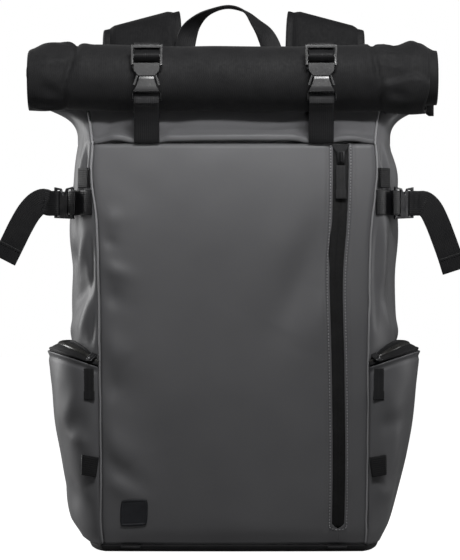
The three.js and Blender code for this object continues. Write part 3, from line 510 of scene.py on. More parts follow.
# Columns: finish, slot, then name, dark, light, mottling, gloss, grain, other sockets
SOLID = [
    ["thread", "coated_grey", "grey thread", (0.24, 0.24, 0.25), (0.36, 0.36, 0.37), (900, 2),
     ((700, 2), 0.5, 0.65), ((3000, 2), 0.3, 0.1), {"Specular_IOR_Level": 0.4, "Sheen_Weight": 0.2}],
    ["coil", "zip_tape", "nylon coil", (0.016, 0.016, 0.015), (0.034, 0.033, 0.03), (200, 3),
     ((700, 3), 0.24, 0.36), ((1800, 2), 0.1, 0.08), {"Specular_IOR_Level": 0.5}],
    ["plastic", "black_plastic", "moulded plastic", (0.017, 0.017, 0.018), (0.027, 0.027, 0.028), (60, 3),
     ((500, 4), 0.22, 0.28), ((2200, 2), 0.12, 0.06), {"Specular_IOR_Level": 0.5}],
    ["metal", "dark_metal", "dark metal", (0.1, 0.1, 0.105), (0.2, 0.2, 0.205), (90, 4),
     (SCRATCHES, 0.24, 0.38), (SCRATCHES, 0.08, 0.05), {"Metallic": 1.0}],
    ["blackened", "dark_metal", "blackened metal", (0.02, 0.02, 0.021), (0.05, 0.05, 0.052), (120, 4),
     ((700, 4), 0.4, 0.52), ((900, 3), 0.08, 0.05), {"Metallic": 0.6}],
    ["rubber", "dark_rubber", "matt rubber", (0.013, 0.014, 0.018), (0.021, 0.022, 0.026), (80, 3),
     ((400, 3), 0.5, 0.62), ((1600, 3), 0.25, 0.1), {"Specular_IOR_Level": 0.4}],
]
# Each finish: its material and the record's slot that it belongs to
FINISHES = {
    "fabric": (coated_fabric("coated fabric", (0.1, 0.1, 0.105), (0.122, 0.122, 0.127)), "coated_grey"),
    # The piping is the bag's own cloth coloured lighter: a painted highlight along the seams.
    "piping": (coated_fabric("piping with painted highlight", (0.2, 0.2, 0.205), (0.3, 0.3, 0.31)), "coated_grey"),
}
for make_material, looks in ((woven, WOVEN), (solid, SOLID)):
    for finish, slot, *look in looks:
        FINISHES[finish] = (make_material(*look), slot)


# Pieces


class Shape:
    """Points, faces and cloth coordinates of one piece, in millimetres."""

    def __init__(self):
        self.points, self.cloth, self.faces, self.count = [], [], [], 0

    def add(self, points, cloth, faces):
        self.points.append(np.reshape(points, (-1, 3)))
        self.cloth.append(np.reshape(cloth, (-1, 3)))
        self.faces.extend([[i + self.count for i in face] for face in faces])
        self.count += len(self.points[-1])

    def wall(self, outer, inner):
        """A closed wall between two grids of points."""
        rows, cols = outer.shape[:2]
        cloth = cloth_coordinates(outer)
        n = rows * cols
        faces = grid_faces(rows, cols)
        faces += [[i + n for i in face[::-1]] for face in faces]
        edge = border(rows, cols)
        faces += [[b, a, a + n, b + n] for a, b in zip(edge, edge[1:] + edge[:1])]
        self.add(np.concatenate([outer, inner]), np.concatenate([cloth, cloth]), faces)

    def rings(self, rings, cloth=None):
        """Rings of points joined one to the next, capped at the ends."""
        rows, cols = rings.shape[:2]
        if cloth is None:
            wrapped = np.concatenate([rings, rings[:, :1]], axis=1)
            cloth = cloth_coordinates(wrapped)[:, :cols]
        faces = []
        for low in range(0, (rows - 1) * cols, cols):
            high = low + cols
            for c in range(cols):
                d = (c + 1) % cols
                faces.append([low + c, low + d, high + d, high + c])
        faces.append(list(range(cols))[::-1])
        faces.append([(rows - 1) * cols + c for c in range(cols)])
        self.add(rings, cloth, faces)

    def make(self, name, finish, *nodes, sides=1):
        """The piece itself. sides = -1 mirrors it to the other side of the bag."""
        points = np.concatenate(self.points) * MM
        faces = self.faces
        if sides < 0:
            points[:, 0] *= -1
            faces = [face[::-1] for face in faces]
        mesh = bpy.data.meshes.new(name)
        mesh.from_pydata(points.tolist(), [], faces)
        mesh.update()
        attribute = mesh.attributes.new("cloth", "FLOAT_VECTOR", "POINT")
        attribute.data.foreach_set("vector", np.concatenate(self.cloth).ravel())
        mesh.shade_smooth()
        return dress(bpy.data.objects.new(name, mesh), finish, *nodes)


def dress(piece, finish, *nodes):
    """Links the piece, gives it its finish, and hides the CAD nodes that it stands for."""
    material, slot = FINISHES[finish]
    if piece.name not in bpy.context.scene.collection.objects:
        bpy.context.scene.collection.objects.link(piece)
    piece.data.materials.clear()
    piece.data.materials.append(material)
    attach(piece, "root")
    if nodes:
        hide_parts(*nodes)
    return piece


def grid_faces(rows, cols):
    r, c = np.meshgrid(np.arange(rows - 1), np.arange(cols - 1), indexing="ij")
    a = r * cols + c
    return np.stack([a, a + 1, a + cols + 1, a + cols], -1).reshape(-1, 4).tolist()


def border(rows, cols):
    """The grid's edge, once round."""
    first = list(range(cols))
    right = [r * cols + cols - 1 for r in range(1, rows)]
    last = [(rows - 1) * cols + c for c in range(cols - 2, -1, -1)]
    left = [r * cols for r in range(rows - 2, 0, -1)]
    return first + right + last + left


def band_rings(path, across, section):
    """Sections set along a path. section is a list of [width, thickness] points, or one such list a point."""
    path = np.asarray(path, float)
    tangent = unit(np.gradient(path, axis=0))
    across = np.broadcast_to(across, path.shape)
    across = unit(across - tangent * np.sum(across * tangent, -1, keepdims=True))
    normal = np.cross(tangent, across)
    section = np.asarray(section, float)
    if section.ndim == 2:
        section = np.broadcast_to(section, (len(path), *section.shape))
    return path[:, None] + across[:, None] * section[..., :1] + normal[:, None] * section[..., 1:]


def webbing_section(width, thickness, n=14):
    """A flat band with rounded edges, anticlockwise."""
    a = np.linspace(0, 2 * np.pi, 2 * n, endpoint=False) + np.pi / (2 * n)
    c, s = np.cos(a), np.sin(a)
    return np.stack(
        [width / 2 * np.sign(c) * np.abs(c) ** 0.3, thickness / 2 * np.sign(s) * np.abs(s) ** 0.55], -1
    )


def band(name, finish, path, across, width, thickness, *nodes, sides=1):
    """A piece that is one band of webbing, with the cloth coordinates across and along it."""
    section = webbing_section(width, thickness)
    cloth = vec(section[None, :, 0] + width, lengths(path)[:, None], 0)
    shape = Shape()
    shape.rings(band_rings(path, across, section), cloth)
    return shape.make(name, finish, *nodes, sides=sides)


def sew(name, finish, outer, inner, *nodes, sides=1):
    """A piece that is one closed wall."""
    shape = Shape()
    shape.wall(outer, inner)
    return shape.make(name, finish, *nodes, sides=sides)


def add_tube(shape, path, radius, n=8):
    path = np.asarray(path, float)
    tangent = unit(np.gradient(path, axis=0))
    helper = np.where(np.abs(tangent[:, 2:]) < 0.9, UP, ACROSS)
    side = unit(np.cross(tangent, helper))
    other = np.cross(tangent, side)
    a = np.linspace(0, 2 * np.pi, n, endpoint=False)
    ring = side[:, None] * np.cos(a)[None, :, None] + other[:, None] * np.sin(a)[None, :, None]
    shape.rings(path[:, None] + radius * ring)


# Length of a stitch / pitch of its line
STITCH_FILL = 0.66


def add_stitches(shape, path, normals, pitch, radius):
    """Separate stitches lying along a path, their ends sunk into the cloth."""
    path, normals = np.asarray(path, float), np.asarray(normals, float)
    run = lengths(path)
    count = max(int(run[-1] / pitch), 1)
    a = np.linspace(0, 2 * np.pi, 6, endpoint=False)
    for k in range(count):
        at = (k + 0.5) * run[-1] / count + np.array([-0.5, -0.3, 0.3, 0.5]) * STITCH_FILL * pitch
        place = np.stack([np.interp(at, run, column) for column in path.T], -1)
        normal = unit(np.stack([np.interp(at, run, column) for column in normals.T], -1))
        along = unit(place[-1:] - place[:1])
        side = np.cross(along, normal)
        size = radius * np.array([0.45, 1, 1, 0.45])[:, None, None]
        lift = radius * np.array([-0.5, 0.35, 0.35, -0.5])[:, None]
        ring = side[:, None] * np.cos(a)[None, :, None] + normal[:, None] * np.sin(a)[None, :, None]
        shape.rings((place + normal * lift)[:, None] + size * ring)


# Edges of the CAD's moulded parts that turn by more than this are rounded
SHARP_EDGE = math.radians(28)


def refined(node, finish, width):
    """A CAD node with its edges rounded, width in millimetres."""
    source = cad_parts[node]
    mesh = source.data.copy()
    piece = bpy.data.objects.new(node + "_moulded", mesh)
    bpy.context.scene.collection.objects.link(piece)
    bpy.context.view_layer.update()
    mesh.transform(source.matrix_world)
    work = bmesh.new()
    work.from_mesh(mesh)
    bmesh.ops.remove_doubles(work, verts=work.verts, dist=0.01 * MM)
    bmesh.ops.dissolve_limit(
        work, angle_limit=math.radians(2), verts=work.verts, edges=work.edges
    )
    bmesh.ops.connect_verts_concave(work, faces=work.faces)
    sharp = [e for e in work.edges if len(e.link_faces) == 2 and e.calc_face_angle(0) > SHARP_EDGE]
    bmesh.ops.bevel(
        work, geom=sharp, offset=width * MM, segments=2, affect="EDGES", clamp_overlap=True
    )
    bmesh.ops.remove_doubles(work, verts=work.verts, dist=0.003 * MM)
    work.to_mesh(mesh)
    work.free()
    mesh.shade_smooth()
    weighted = piece.modifiers.new("Flat faces", "WEIGHTED_NORMAL")
    weighted.weight, weighted.keep_sharp = 100, False
    return dress(piece, finish, node)


# Body panels

# Soft ridges of the front. Columns: x and height above the floor of each end, width, height
FRONT_FOLDS = [
    [-131, 316, -104, 318, 10, 2.6],
    [-130, 300, -112, 292, 6, -2.2],
    [-131, 274, -98, 262, 8, 2.8],
    [-128, 250, -104, 236, 10, -3.0],
    [-130, 206, -100, 180, 15, 3.4],
    [-128, 166, -106, 150, 13, -3.0],
    [-130, 118, -96, 84, 14, 3.6],
    [-130, 96, -88, 62, 9, -2.6],
    [-130, 74, -84, 50, 9, 2.6],
    [-104, 190, -78, 96, 24, -2.6],
    [88, 318, 44, 214, 18, -4.6],
    [62, 330, 12, 226, 26, 1.8],
    [88, 250, 70, 190, 16, 2.0],
    [-60, 372, 30, 376, 16, 1.0],
    [-128, 372, -70, 330, 14, -0.9],
    [20, 160, -30, 60, 40, 0.9],
    [118, 330, 112, 240, 7, -0.9],
    [112, 210, 122, 120, 9, 0.8],
    [118, 70, 100, 30, 8, -0.8],
    [-30, 30, 60, 24, 12, 0.7],
]
# Columns: height above the floor / BODY_H, middle of the front zip, half the width of its opening
ZIP_LINE = [
    [0, 98.5, 5.9],
    [0.2, 99.4, 6.0],
    [0.45, 98.6, 6.0],
    [0.62, 97.0, 6.2],
    [0.7, 97.4, 6.6],
    [0.8, 100.2, 7.0],
    [0.92, 101.6, 7.4],
    [1.0, 101.8, 7.4],
]


def edge_tuck(distance, depth, width):
    """How far cloth turns in where it meets a seam."""
    return -depth * hill(distance, 0, width)


def front_relief(x, z):
    """How far the front's cloth stands off its CAD surface."""
    inside = section_at(z)["front_x"] - np.abs(x)
    height = ridges(x, z, FRONT_FOLDS) + 0.5 * ripple(x, z, 150, 1.3)
    height = height * smoothstep(inside, 0, 14)
    height = height + edge_tuck(inside, 1.5, 2.6)
    height = height + edge_tuck(BODY_H - z, 2.2, 2.4)
    middle, half = read_table(ZIP_LINE, z / BODY_H)
    off = np.abs(x - middle) - half
    in_zip = smoothstep(z, ZIP_BOTTOM - 5, ZIP_BOTTOM)
    lip = 0.9 * hill(off, 1.2, 1.6) - 0.7 * hill(off, 4.6, 1.8)
    return height + in_zip * lip


def front_panel():
    heights = np.concatenate([
        np.linspace(BASE_RIM + SEAM_GAP, 40, 14),
        np.linspace(42.5, BODY_H - 6, 132),
        BODY_H - np.array([5, 4, 3, 2, 1.2, 0.6, 0.15]),
    ])
    z = heights[:, None]
    middle, half = read_table(ZIP_LINE, z / BODY_H)
    limit = section_at(z)["front_x"] - SEAM_GAP / 2
    # The opening closes below the zip's lower end.
    gap = half * smoothstep(z, ZIP_BOTTOM - 0.5, ZIP_BOTTOM + 2)
    # Left of the zip the columns crowd towards it.
    u = np.linspace(0, 1, 104)
    crowded = 1 - (1 - u) ** 1.25 * (1 - 0.25 * u)
    shape = Shape()
    for start, stop, share in (
        (-limit, middle - gap, crowded),
        (middle + gap, limit, np.linspace(0, 1, 22)),
    ):
        x = start + (stop - start) * share
        outer = front_at(x, z)
        normal = grid_normals(outer)
        outer = outer + normal * front_relief(x, z + 0 * x)[..., None]
        shape.wall(outer, outer - normal * FABRIC * 0.6)
    shape.make("front_panel_cloth", "fabric", "front_panel")


# Stitches beside the front zip: distance from its opening
STITCH_OFF = 2.3
# Pointed flap over the front zip's upper end: place below the top seam, length, overlap, thickness
FLAP_DROP = 1.5
FLAP_L = 15
FLAP_LAP = 1.2
FLAP_T = 0.8
# The front zip's ribbon hangs from this far below the top seam
PULLER_DROP = 22


def front_zip():
    heights = np.linspace(ZIP_BOTTOM, BODY_H - 2, 150)
    middle, half = read_table(ZIP_LINE, heights / BODY_H)
    across = np.linspace(-1, 1, 15)
    x = middle[:, None] + across * (half[:, None] + 1.5)
    # The two tapes meet in a shallow groove over the hidden coil.
    crown = 0.9 * (1 - np.abs(across) ** 3) - 0.8 * hill(across, 0, 0.1)
    outer = front_at(x, heights[:, None]) + FRONT * (crown - 1.0)[None, :, None]
    sew("front_zip_tapes", "tape", outer, outer - FRONT * TAPE_T * 0.5, "front_zip_tape")
    turn = np.linspace(np.pi, 2 * np.pi, 12)
    m, h = read_table(ZIP_LINE, ZIP_BOTTOM / BODY_H)
    thread = Shape()
    for x, z in (
        (middle - (half + STITCH_OFF), heights),
        (middle + (half + STITCH_OFF), heights),
        (m + (h + STITCH_OFF) * np.cos(turn), ZIP_BOTTOM + 0.8 + 3.4 * np.sin(turn)),
    ):
        line = front_at(x, z) + FRONT * (front_relief(x, z)[:, None] + 0.15)
        add_stitches(thread, line, np.tile(FRONT, (len(line), 1)), pitch=2.9, radius=0.46)
    thread.make("front_zip_stitches", "thread")
    refined("front_zip_slider", "blackened", 0.6)
    u, v = np.meshgrid(np.linspace(-1, 1, 21), np.linspace(0, 1, 19))
    z = BODY_H - FLAP_DROP - FLAP_L * v
    m, h = read_table(ZIP_LINE, z / BODY_H)
    x = m + u * (h + FLAP_LAP) * (1 - v) ** 0.8
    lift = 1.6 + 2.6 * smoothstep(v, 0.1, 0.7) * (1 - u * u)
    flap = (front_at(x, z) + FRONT * lift[..., None])[::-1]
    sew("front_zip_garage", "oxford", flap, flap - FRONT * FLAP_T)
    top = BODY_H - PULLER_DROP
    m = read_table(ZIP_LINE, top / BODY_H)[0]
    path = [front_at(m, top - d) + FRONT * (2.6 - 0.01 * d) for d in np.linspace(0, PULLER_L, 9)]
    ribbon("front_zip_ribbon", catmull(path, 1.0), ACROSS, "front_zip_puller")


def ribbon(name, path, across, node, sides=1):
    """A grosgrain puller: a folded ribbon with two lines of stitches near its end."""
    section = webbing_section(PULLER_W, PULLER_T)
    share = np.linspace(0, 1, len(path))[:, None, None]
    swell = (1 + 0.25 * smoothstep(share, 0.7, 0.74)) ** 0.5
    rings = path[:, None] + (band_rings(path, across, section) - path[:, None]) * swell
    shape = Shape()
    shape.rings(rings, vec(section[None, :, 0] + PULLER_W, lengths(path)[:, None], 0))
    shape.make(name, "grosgrain", node, sides=sides)
    thread = Shape()
    tangent = unit(np.gradient(path, axis=0))
    across = np.broadcast_to(across, path.shape)
    wide = unit(across - tangent * np.sum(across * tangent, -1, keepdims=True))
    face = np.cross(tangent, wide)
    for at in (0.7, 0.95):
        k = int(at * (len(path) - 1))
        for sign in (-1, 1):
            line = path[k] + wide[k] * np.linspace(-0.44, 0.44, 8)[:, None] * PULLER_W
            line = line + sign * face[k] * PULLER_T * 0.5
            add_stitches(thread, line, np.tile(sign * face[k], (8, 1)), pitch=1.5, radius=0.2)
    thread.make(name + "_stitches", "binding", sides=sides)


# Soft ridges of the neck. Columns: x and rise above the seam of each end, width, height
NECK_FOLDS = [
    [-124, 4, -118, 30, 6, -1.8],
    [-112, 6, -92, 34, 8, 1.8],
    [-90, 8, -74, 34, 6, -1.4],
    [-70, 4, -52, 14, 5, 1.6],
    [-66, 16, -40, 34, 9, -1.8],
    [-40, 10, 30, 9, 6, 1.6],
    [-30, 28, 20, 32, 10, 1.6],
    [20, 6, 70, 11, 4, 2.0],
    [40, 20, 66, 32, 7, -2.0],
    [96, 12, 124, 18, 8, 2.0],
    [100, 4, 126, 6, 3, -1.2],
    [112, 26, 128, 34, 8, -1.4],
]


# Where the roll straps press the yoke in, how wide, and how far it puffs out beside them
STRAP_DENTS = (-84.6, 81)
DENT_W = 19
YOKE_PUFF = 4.2


def yokes():
    rise = np.concatenate([[0.15, 0.7, 1.4, 2.2, 3.2, 4.4], np.linspace(6, NECK_RISE, 22)])[:, None]
    z = BODY_H + rise
    s = section_at(z)
    share = np.linspace(-1, 1, 96)[None, :]
    fade = 1 - smoothstep(rise, 30, 39)
    x = share * (s["front_x"] - SEAM_GAP / 2)
    inside = s["front_x"] - np.abs(x)
    outer = vec(x, s["front_y"] - s["bulge"] * (1 - share**2), z)
    normal = grid_normals(outer)
    height = (ridges(x, rise + 0 * x, NECK_FOLDS) + 0.6 * ripple(x, z, 90, 2.2)) * fade
    height = height * smoothstep(inside, 0, 12) + edge_tuck(inside, 1.2, 2.4)
    free = 1
    for dent in STRAP_DENTS:
        free = free - hill(x, dent, DENT_W, 4)
    height = height + YOKE_PUFF * free * hill(rise, 4, 9) * smoothstep(inside, 2, 22)
    # The lower edge is turned under and stands over the front panel.
    height = height + 1.9 * hill(rise, 2.6, 2.4) - 1.2 * hill(rise, 0, 0.8)
    outer = outer + normal * height[..., None]
    sew("yoke_front_cloth", "fabric", outer, outer - normal * FABRIC * 0.7, "yoke_front")
    x = -share * (s["back_x"] - SEAM_GAP / 2)
    outer = vec(x, s["back_y"], z)
    normal = grid_normals(outer)
    height = (0.8 * ripple(x, z, 70, 4.1)) * fade + edge_tuck(s["back_x"] - np.abs(x), 1.0, 2.4)
    outer = outer + normal * (height - hill(rise, 0, 1.2))[..., None]
    sew("yoke_back_cloth", "fabric", outer, outer - normal * FABRIC * 0.7, "yoke_back")


# Soft ridges of the sides. Columns: share round the side * 150 and height of each end, width, height
SIDE_FOLDS = {
    "left": [
        [4, 384, 9, 320, 3.5, 2.0],
        [40, 288, 70, 272, 12, -4.0],
        [12, 384, 15, 346, 4, -3.0],
        [22, 388, 30, 330, 7, 2.6],
        [38, 384, 46, 300, 10, -2.6],
        [7, 300, 14, 246, 5, -3.6],
        [18, 302, 40, 262, 8, 3.6],
        [14, 256, 60, 232, 9, -4.2],
        [12, 240, 34, 200, 8, 3.4],
        [6, 226, 12, 196, 4, -2.6],
        [60, 330, 90, 210, 18, 2.4],
        [40, 218, 100, 204, 9, 2.4],
        [110, 360, 120, 220, 12, -2.0],
        [130, 300, 128, 200, 9, 1.6],
    ],
    "right": [
        [5, 376, 12, 352, 4, 2.2],
        [60, 384, 66, 342, 26, 3.4],
        [14, 382, 20, 340, 5, -3.0],
        [24, 386, 32, 340, 7, 3.4],
        [40, 384, 44, 318, 9, -2.6],
        [7, 312, 10, 216, 5, -3.4],
        [20, 318, 24, 250, 7, 3.4],
        [34, 300, 50, 226, 8, -3.0],
        [22, 240, 40, 204, 8, 2.6],
        [60, 330, 90, 214, 16, 2.4],
        [52, 214, 100, 204, 9, 2.2],
        [118, 350, 124, 230, 12, -1.8],
    ],
}
SIDE_WIDTH = 150


def side_panels():
    heights = np.linspace(BASE_RIM + SEAM_GAP, BODY_H, 130)
    heights = np.concatenate([heights, BODY_H + np.linspace(2.5, NECK_RISE, 20)])
    t, z = np.meshgrid(np.linspace(0, 1, 58), heights)
    flat = side_point(section_at(z), 0.002 + 0.996 * t)
    normal = grid_normals(flat)
    u = t * SIDE_WIDTH
    edge = smoothstep(np.minimum(u, SIDE_WIDTH - u), 0, 14)
    above = smoothstep(z, 188, 204)
    fade = 1 - smoothstep(z, BODY_H + 18, BODY_H + 34)
    for side, sign in SIDES:
        height = ridges(u, z, SIDE_FOLDS[side]) + 0.8 * ripple(u, z, 80, 1.1 + sign)
        height = height * edge * above * fade
        height = height + edge_tuck(u, 1.2, 2.6) + edge_tuck(SIDE_WIDTH - u, 1.2, 2.6)
        outer = flat + normal * height[..., None]
        inner = outer - normal * FABRIC * 0.7
        sew(f"side_panel_{side}_cloth", "fabric", outer, inner, f"side_panel_{side}", sides=sign)


def seam_piping():
    """Piping along the front seams, of the bag's own cloth coloured lighter as a painted highlight, and
    binding round the back panel.
    """
    heights = np.linspace(BASE_RIM + 1, BODY_H + 33, 190)
    s = section_at(heights)
    wander = 0.5 * ripple(heights, 0 * heights, 46, 0.8) + 0.6 * ripple(heights, 0 * heights, 120, 2.0)
    for side, sign in SIDES:
        line = vec(s["front_x"] + 0.1 + wander * (1 if sign > 0 else -0.6), s["front_y"] + 0.1, heights)
        shape = Shape()
        add_tube(shape, line, 1.05, 10)
        # The piping's lighter colour is a painted highlight.
        shape.make(f"front_piping_{side}", "piping", sides=sign)
    heights = np.linspace(BASE_RIM + 1, BODY_H + 4, 160)
    s = section_at(heights)
    for side, sign in SIDES:
        shape = Shape()
        add_tube(shape, vec(s["back_x"] + 0.4, s["back_y"] - 0.2, heights), 1.6, 10)
        shape.make(f"back_binding_{side}", "binding", sides=sign)


# Padded back

# The pads' edge inside the panel's, half the middle channel's width, heights of the cross seams
PAD_EDGE = 12
CHANNEL_W = 9
PAD_SEAMS = [130, 256]


def back_relief(x, z, back_x):
    """The back panel's foam: two columns of pads, pressed in along the sewn channels."""
    inside = np.minimum(back_x - PAD_EDGE - np.abs(x), np.minimum(z - 24, BODY_H - 26 - z))
    height = 5.5 * smoothstep(inside, 0, 11)
    height = height - 5.0 * hill(x, 0, CHANNEL_W, 4) * smoothstep(inside, 0, 8)
    for seam in PAD_SEAMS:
        height = height - 4.4 * hill(z, seam, 5.0) * smoothstep(inside, 0, 8)
    return height


def back_panel():
    z = np.linspace(BASE_RIM + SEAM_GAP, BODY_H - 0.15, 104)[:, None]
    s = section_at(z)
    x = np.linspace(1, -1, 74)[None, :] * (s["back_x"] - SEAM_GAP / 2)
    outer = vec(x, s["back_y"], z)
    relief = back_relief(x, z + 0 * x, s["back_x"])
    raised = outer + vec(0, 1, 0) * (relief * 0.72)[..., None]
    piece = sew("back_pad", "mesh", raised, outer - vec(0, BACK_PAD - 1, 0), "back_panel")
    held = np.concatenate([(relief < 2.6).ravel(), np.ones(relief.size, bool)])
    inflate(piece, held, pressure=1.2, most=3.0)


# Frames of the cloth simulation
INFLATE_FRAMES = 14


def inflate(piece, held, pressure, most):
    """Swells a padded piece with a cloth simulation. held marks the points that stay put."""
    start = np.empty(len(piece.data.vertices) * 3)
    piece.data.vertices.foreach_get("co", start)
    group = piece.vertex_groups.new(name="held")
    group.add([int(i) for i in np.flatnonzero(held)], 1.0, "REPLACE")
    cloth = piece.modifiers.new("Cloth", "CLOTH")
    settings = cloth.settings
    settings.quality = 4
    settings.use_pressure = True
    settings.uniform_pressure_force = pressure
    settings.vertex_group_mass = "held"
    settings.tension_stiffness = settings.compression_stiffness = 12
    settings.bending_stiffness = 0.8
    settings.effector_weights.gravity = 0
    cloth.collision_settings.use_collision = False
    scene = bpy.context.scene
    for number in range(1, INFLATE_FRAMES + 1):
        scene.frame_set(number)
    graph = bpy.context.evaluated_depsgraph_get()
    after = np.empty_like(start)
    piece.evaluated_get(graph).data.vertices.foreach_get("co", after)
    piece.modifiers.remove(cloth)
    piece.vertex_groups.remove(group)
    scene.frame_set(1)
    move = (after - start).reshape(-1, 3)
    size = np.linalg.norm(move, axis=1, keepdims=True)
    move *= np.minimum(1, most * MM / np.maximum(size, 1e-9))
    piece.data.vertices.foreach_set("co", (start.reshape(-1, 3) + move).ravel())
    piece.data.update()


def base_panel():
    s = section_at(BASE_RIM)
    right = side_point(s, np.linspace(0, 1, 41))
    front = front_at(np.linspace(-1, 1, 61) * s["front_x"], BASE_RIM)
    back = vec(np.linspace(s["back_x"], -s["back_x"], 61), s["back_y"], BASE_RIM)
    left = right[::-1] * [-1, 1, 1]
    loop = np.concatenate([front[:-1], right[:-1], back[:-1], left[:-1]])
    loop = evenly(np.vstack([loop, loop[:1]]), 3.0)[:-1]
    tangent = unit(np.roll(loop, -1, 0) - np.roll(loop, 1, 0))
    inward = np.cross(UP, tangent)
    # Columns: how far in, height. From the middle of the underside, round the edge and into the tray.
    profile = [
        [40, 0], [BASE_EDGE + 2, 0], [BASE_EDGE, 0.05], [3.0, 0.5], [1.3, 1.6], [0.4, 3.2],
        [-0.3, 5.0], [-0.5, 6.2], [0.0, BASE_RIM], [BASE_T, BASE_RIM], [BASE_T + 0.4, 5.0],
        [BASE_T + 3, 3.6], [40, BASE_T],
    ]
    rings = np.stack([loop + inward * inset + UP * (z - BASE_RIM) for inset, z in profile])
    shape = Shape()
    shape.rings(rings[:, ::-1], cloth=vec(rings[:, ::-1, 0], rings[:, ::-1, 1], 0))
    shape.make("base_tray", "oxford", "base_panel")


front_panel()
front_zip()
yokes()
side_panels()
seam_piping()
back_panel()
base_panel()


# Roll

# Soft ridges of the roll's outer turn. Columns: x and way round the roll of each end, width, height
ROLL_FOLDS = [
    [-150, 40, -153, 80, 2.0, -3.2],
    [-153, 78, -162, 112, 2.0, -3.2],
    [-162, 110, -162, 156, 2.0, -3.0],
    [-143, 42, -147, 110, 5, 1.6],
    [-153, 58, -166, 50, 3.0, 1.8],
    [-154, 68, -172, 62, 2.6, 1.2],
    [-157, 84, -184, 90, 6, 2.0],
    [-186, 112, -166, 124, 7, -2.6],
    [-194, 138, -162, 146, 4, 2.2],
    [-194, 130, -164, 136, 2.6, -1.8],
    [-190, 150, -166, 154, 3, -1.4],
    [132, 34, 133, 80, 2.0, -3.2],
    [133, 76, 139, 112, 2.0, -3.2],
    [139, 108, 143, 156, 2.0, -3.0],
    [126, 42, 132, 110, 5, 1.4],
    [136, 56, 156, 46, 2.6, 1.8],
    [137, 66, 158, 60, 2.4, 1.5],
    [138, 76, 170, 82, 4, 1.8],
    [139, 90, 162, 95, 3, 1.4],
    [168, 44, 190, 66, 6, -2.4],
    [150, 132, 186, 118, 12, 2.0],
    [146, 118, 168, 122, 4, -1.6],
    [-118, 50, -104, 150, 18, 1.2],
    [-60, 56, -30, 140, 24, -1.2],
    [10, 64, 30, 146, 20, 1.3],
    [60, 50, 56, 150, 10, -0.8],
    [104, 60, 92, 146, 14, -1.2],
]
# Upper edge of the fold tucked in at the roll's right end. Columns: x, way round the roll
TUCK_LINE = [[138, 110], [150, 107], [165, 103.5], [178, 103], [186, 108], [196, 124]]


# How far the sheet's corner hangs at the roll's right end
CORNER_DROP = 11


def roll_top():
    turns = np.concatenate([np.linspace(0, 1.06, 86), np.linspace(1.1, ROLL_TURNS, 60)])
    foot = np.linspace(MOUTH_Z + SEAM_GAP, ROLL_Z, 8)[:-1]
    share = np.linspace(1, -1, 165)[None, :]
    a = turns[:, None] * 2 * np.pi
    # The inner turns stand out a little further than the outer one.
    outer_turn = smoothstep(turns, 0.2, 0.3) * (1 - smoothstep(turns, 0.9, 1.0))
    right = ROLL_LENGTH / 2 + 0.4 - 8.5 * outer_turn - 5 * hill(turns, 0.66, 0.08)
    left = ROLL_LENGTH / 2 + 2.5 - 4 * hill(turns, 0.27, 0.06) + hill(turns, 1.47, 0.045)
    x = share * np.where(share > 0, right[:, None], left[:, None])
    scale, lift = read_table(ROLL_ENDS, np.abs(share[0]))
    free = smoothstep(turns, 0.06, 0.16)[:, None]
    around = np.minimum(a, 2 * np.pi) * ROLL_R
    first = 1 - smoothstep(turns, 1.0, 1.1)[:, None]
    (line,) = read_table(TUCK_LINE, x)
    tuck = 4.0 * smoothstep(around - line, -1, 3) * smoothstep(x, 138, 148)
    tuck = tuck * (1 - smoothstep(around, 148, 162))
    peaks = 3.6 * hill(around, 52, 16) * (hill(x, 171, 12) + 0.8 * hill(x, -163, 14))
    corner = -5.0 * hill(around, 48, 20) * (smoothstep(x, 178, 194) + smoothstep(-x, 182, 198))
    height = ridges(x, around, ROLL_FOLDS) + tuck + peaks + corner + 0.7 * ripple(x, around, 120, 0.6)
    height = height * first * free * (1 - smoothstep(turns, 0.94, 1.02)[:, None])
    drop = CORNER_DROP * smoothstep(share, 0.93, 0.975) * np.linspace(1, 0, len(foot))[:, None]

    def layer(offset):
        radius = (ROLL_R - ROLL_PITCH * turns[:, None] + offset) * (1 + (scale - 1) * free) + height
        z = ROLL_Z + radius * np.sin(a) + lift * ROLL_R * free
        wound = vec(x, ROLL_Y + radius * np.cos(a), z)
        flat = vec(share * right[0], SHEET_Y + offset, foot[:, None] - drop)
        return np.concatenate([flat, wound])

    sew("roll_cloth", "oxford", layer(ROLL_CLOTH / 2), layer(-ROLL_CLOTH / 2), "roll_top")


# Side pockets

# Soft ridges of the pockets. Columns: share round the side * 180 and height of each end, width, height
POCKET_FOLDS = {
    "left": [
        [8, 130, 34, 116, 11, -2.4],
        [5, 103, 32, 112, 7, 2.2],
        [12, 160, 40, 120, 9, 1.2],
        [44, 172, 60, 90, 12, 1.6],
        [26, 60, 70, 44, 12, -1.6],
        [6, 52, 40, 66, 8, 1.4],
        [70, 180, 110, 120, 18, -1.6],
        [120, 170, 140, 60, 14, 1.8],
        [90, 90, 150, 40, 18, -1.4],
        [90, 60, 90, 10, 40, 4],
    ],
    "right": [
        [10, 168, 24, 120, 8, 1.4],
        [8, 118, 36, 128, 9, -2.0],
        [26, 150, 34, 70, 9, 1.8],
        [6, 60, 44, 52, 9, 1.4],
        [48, 110, 60, 30, 12, -1.6],
        [70, 176, 112, 110, 18, -1.6],
        [122, 168, 136, 70, 14, 1.8],
        [88, 96, 150, 44, 18, -1.4],
    ],
}
POCKET_WIDTH = 180


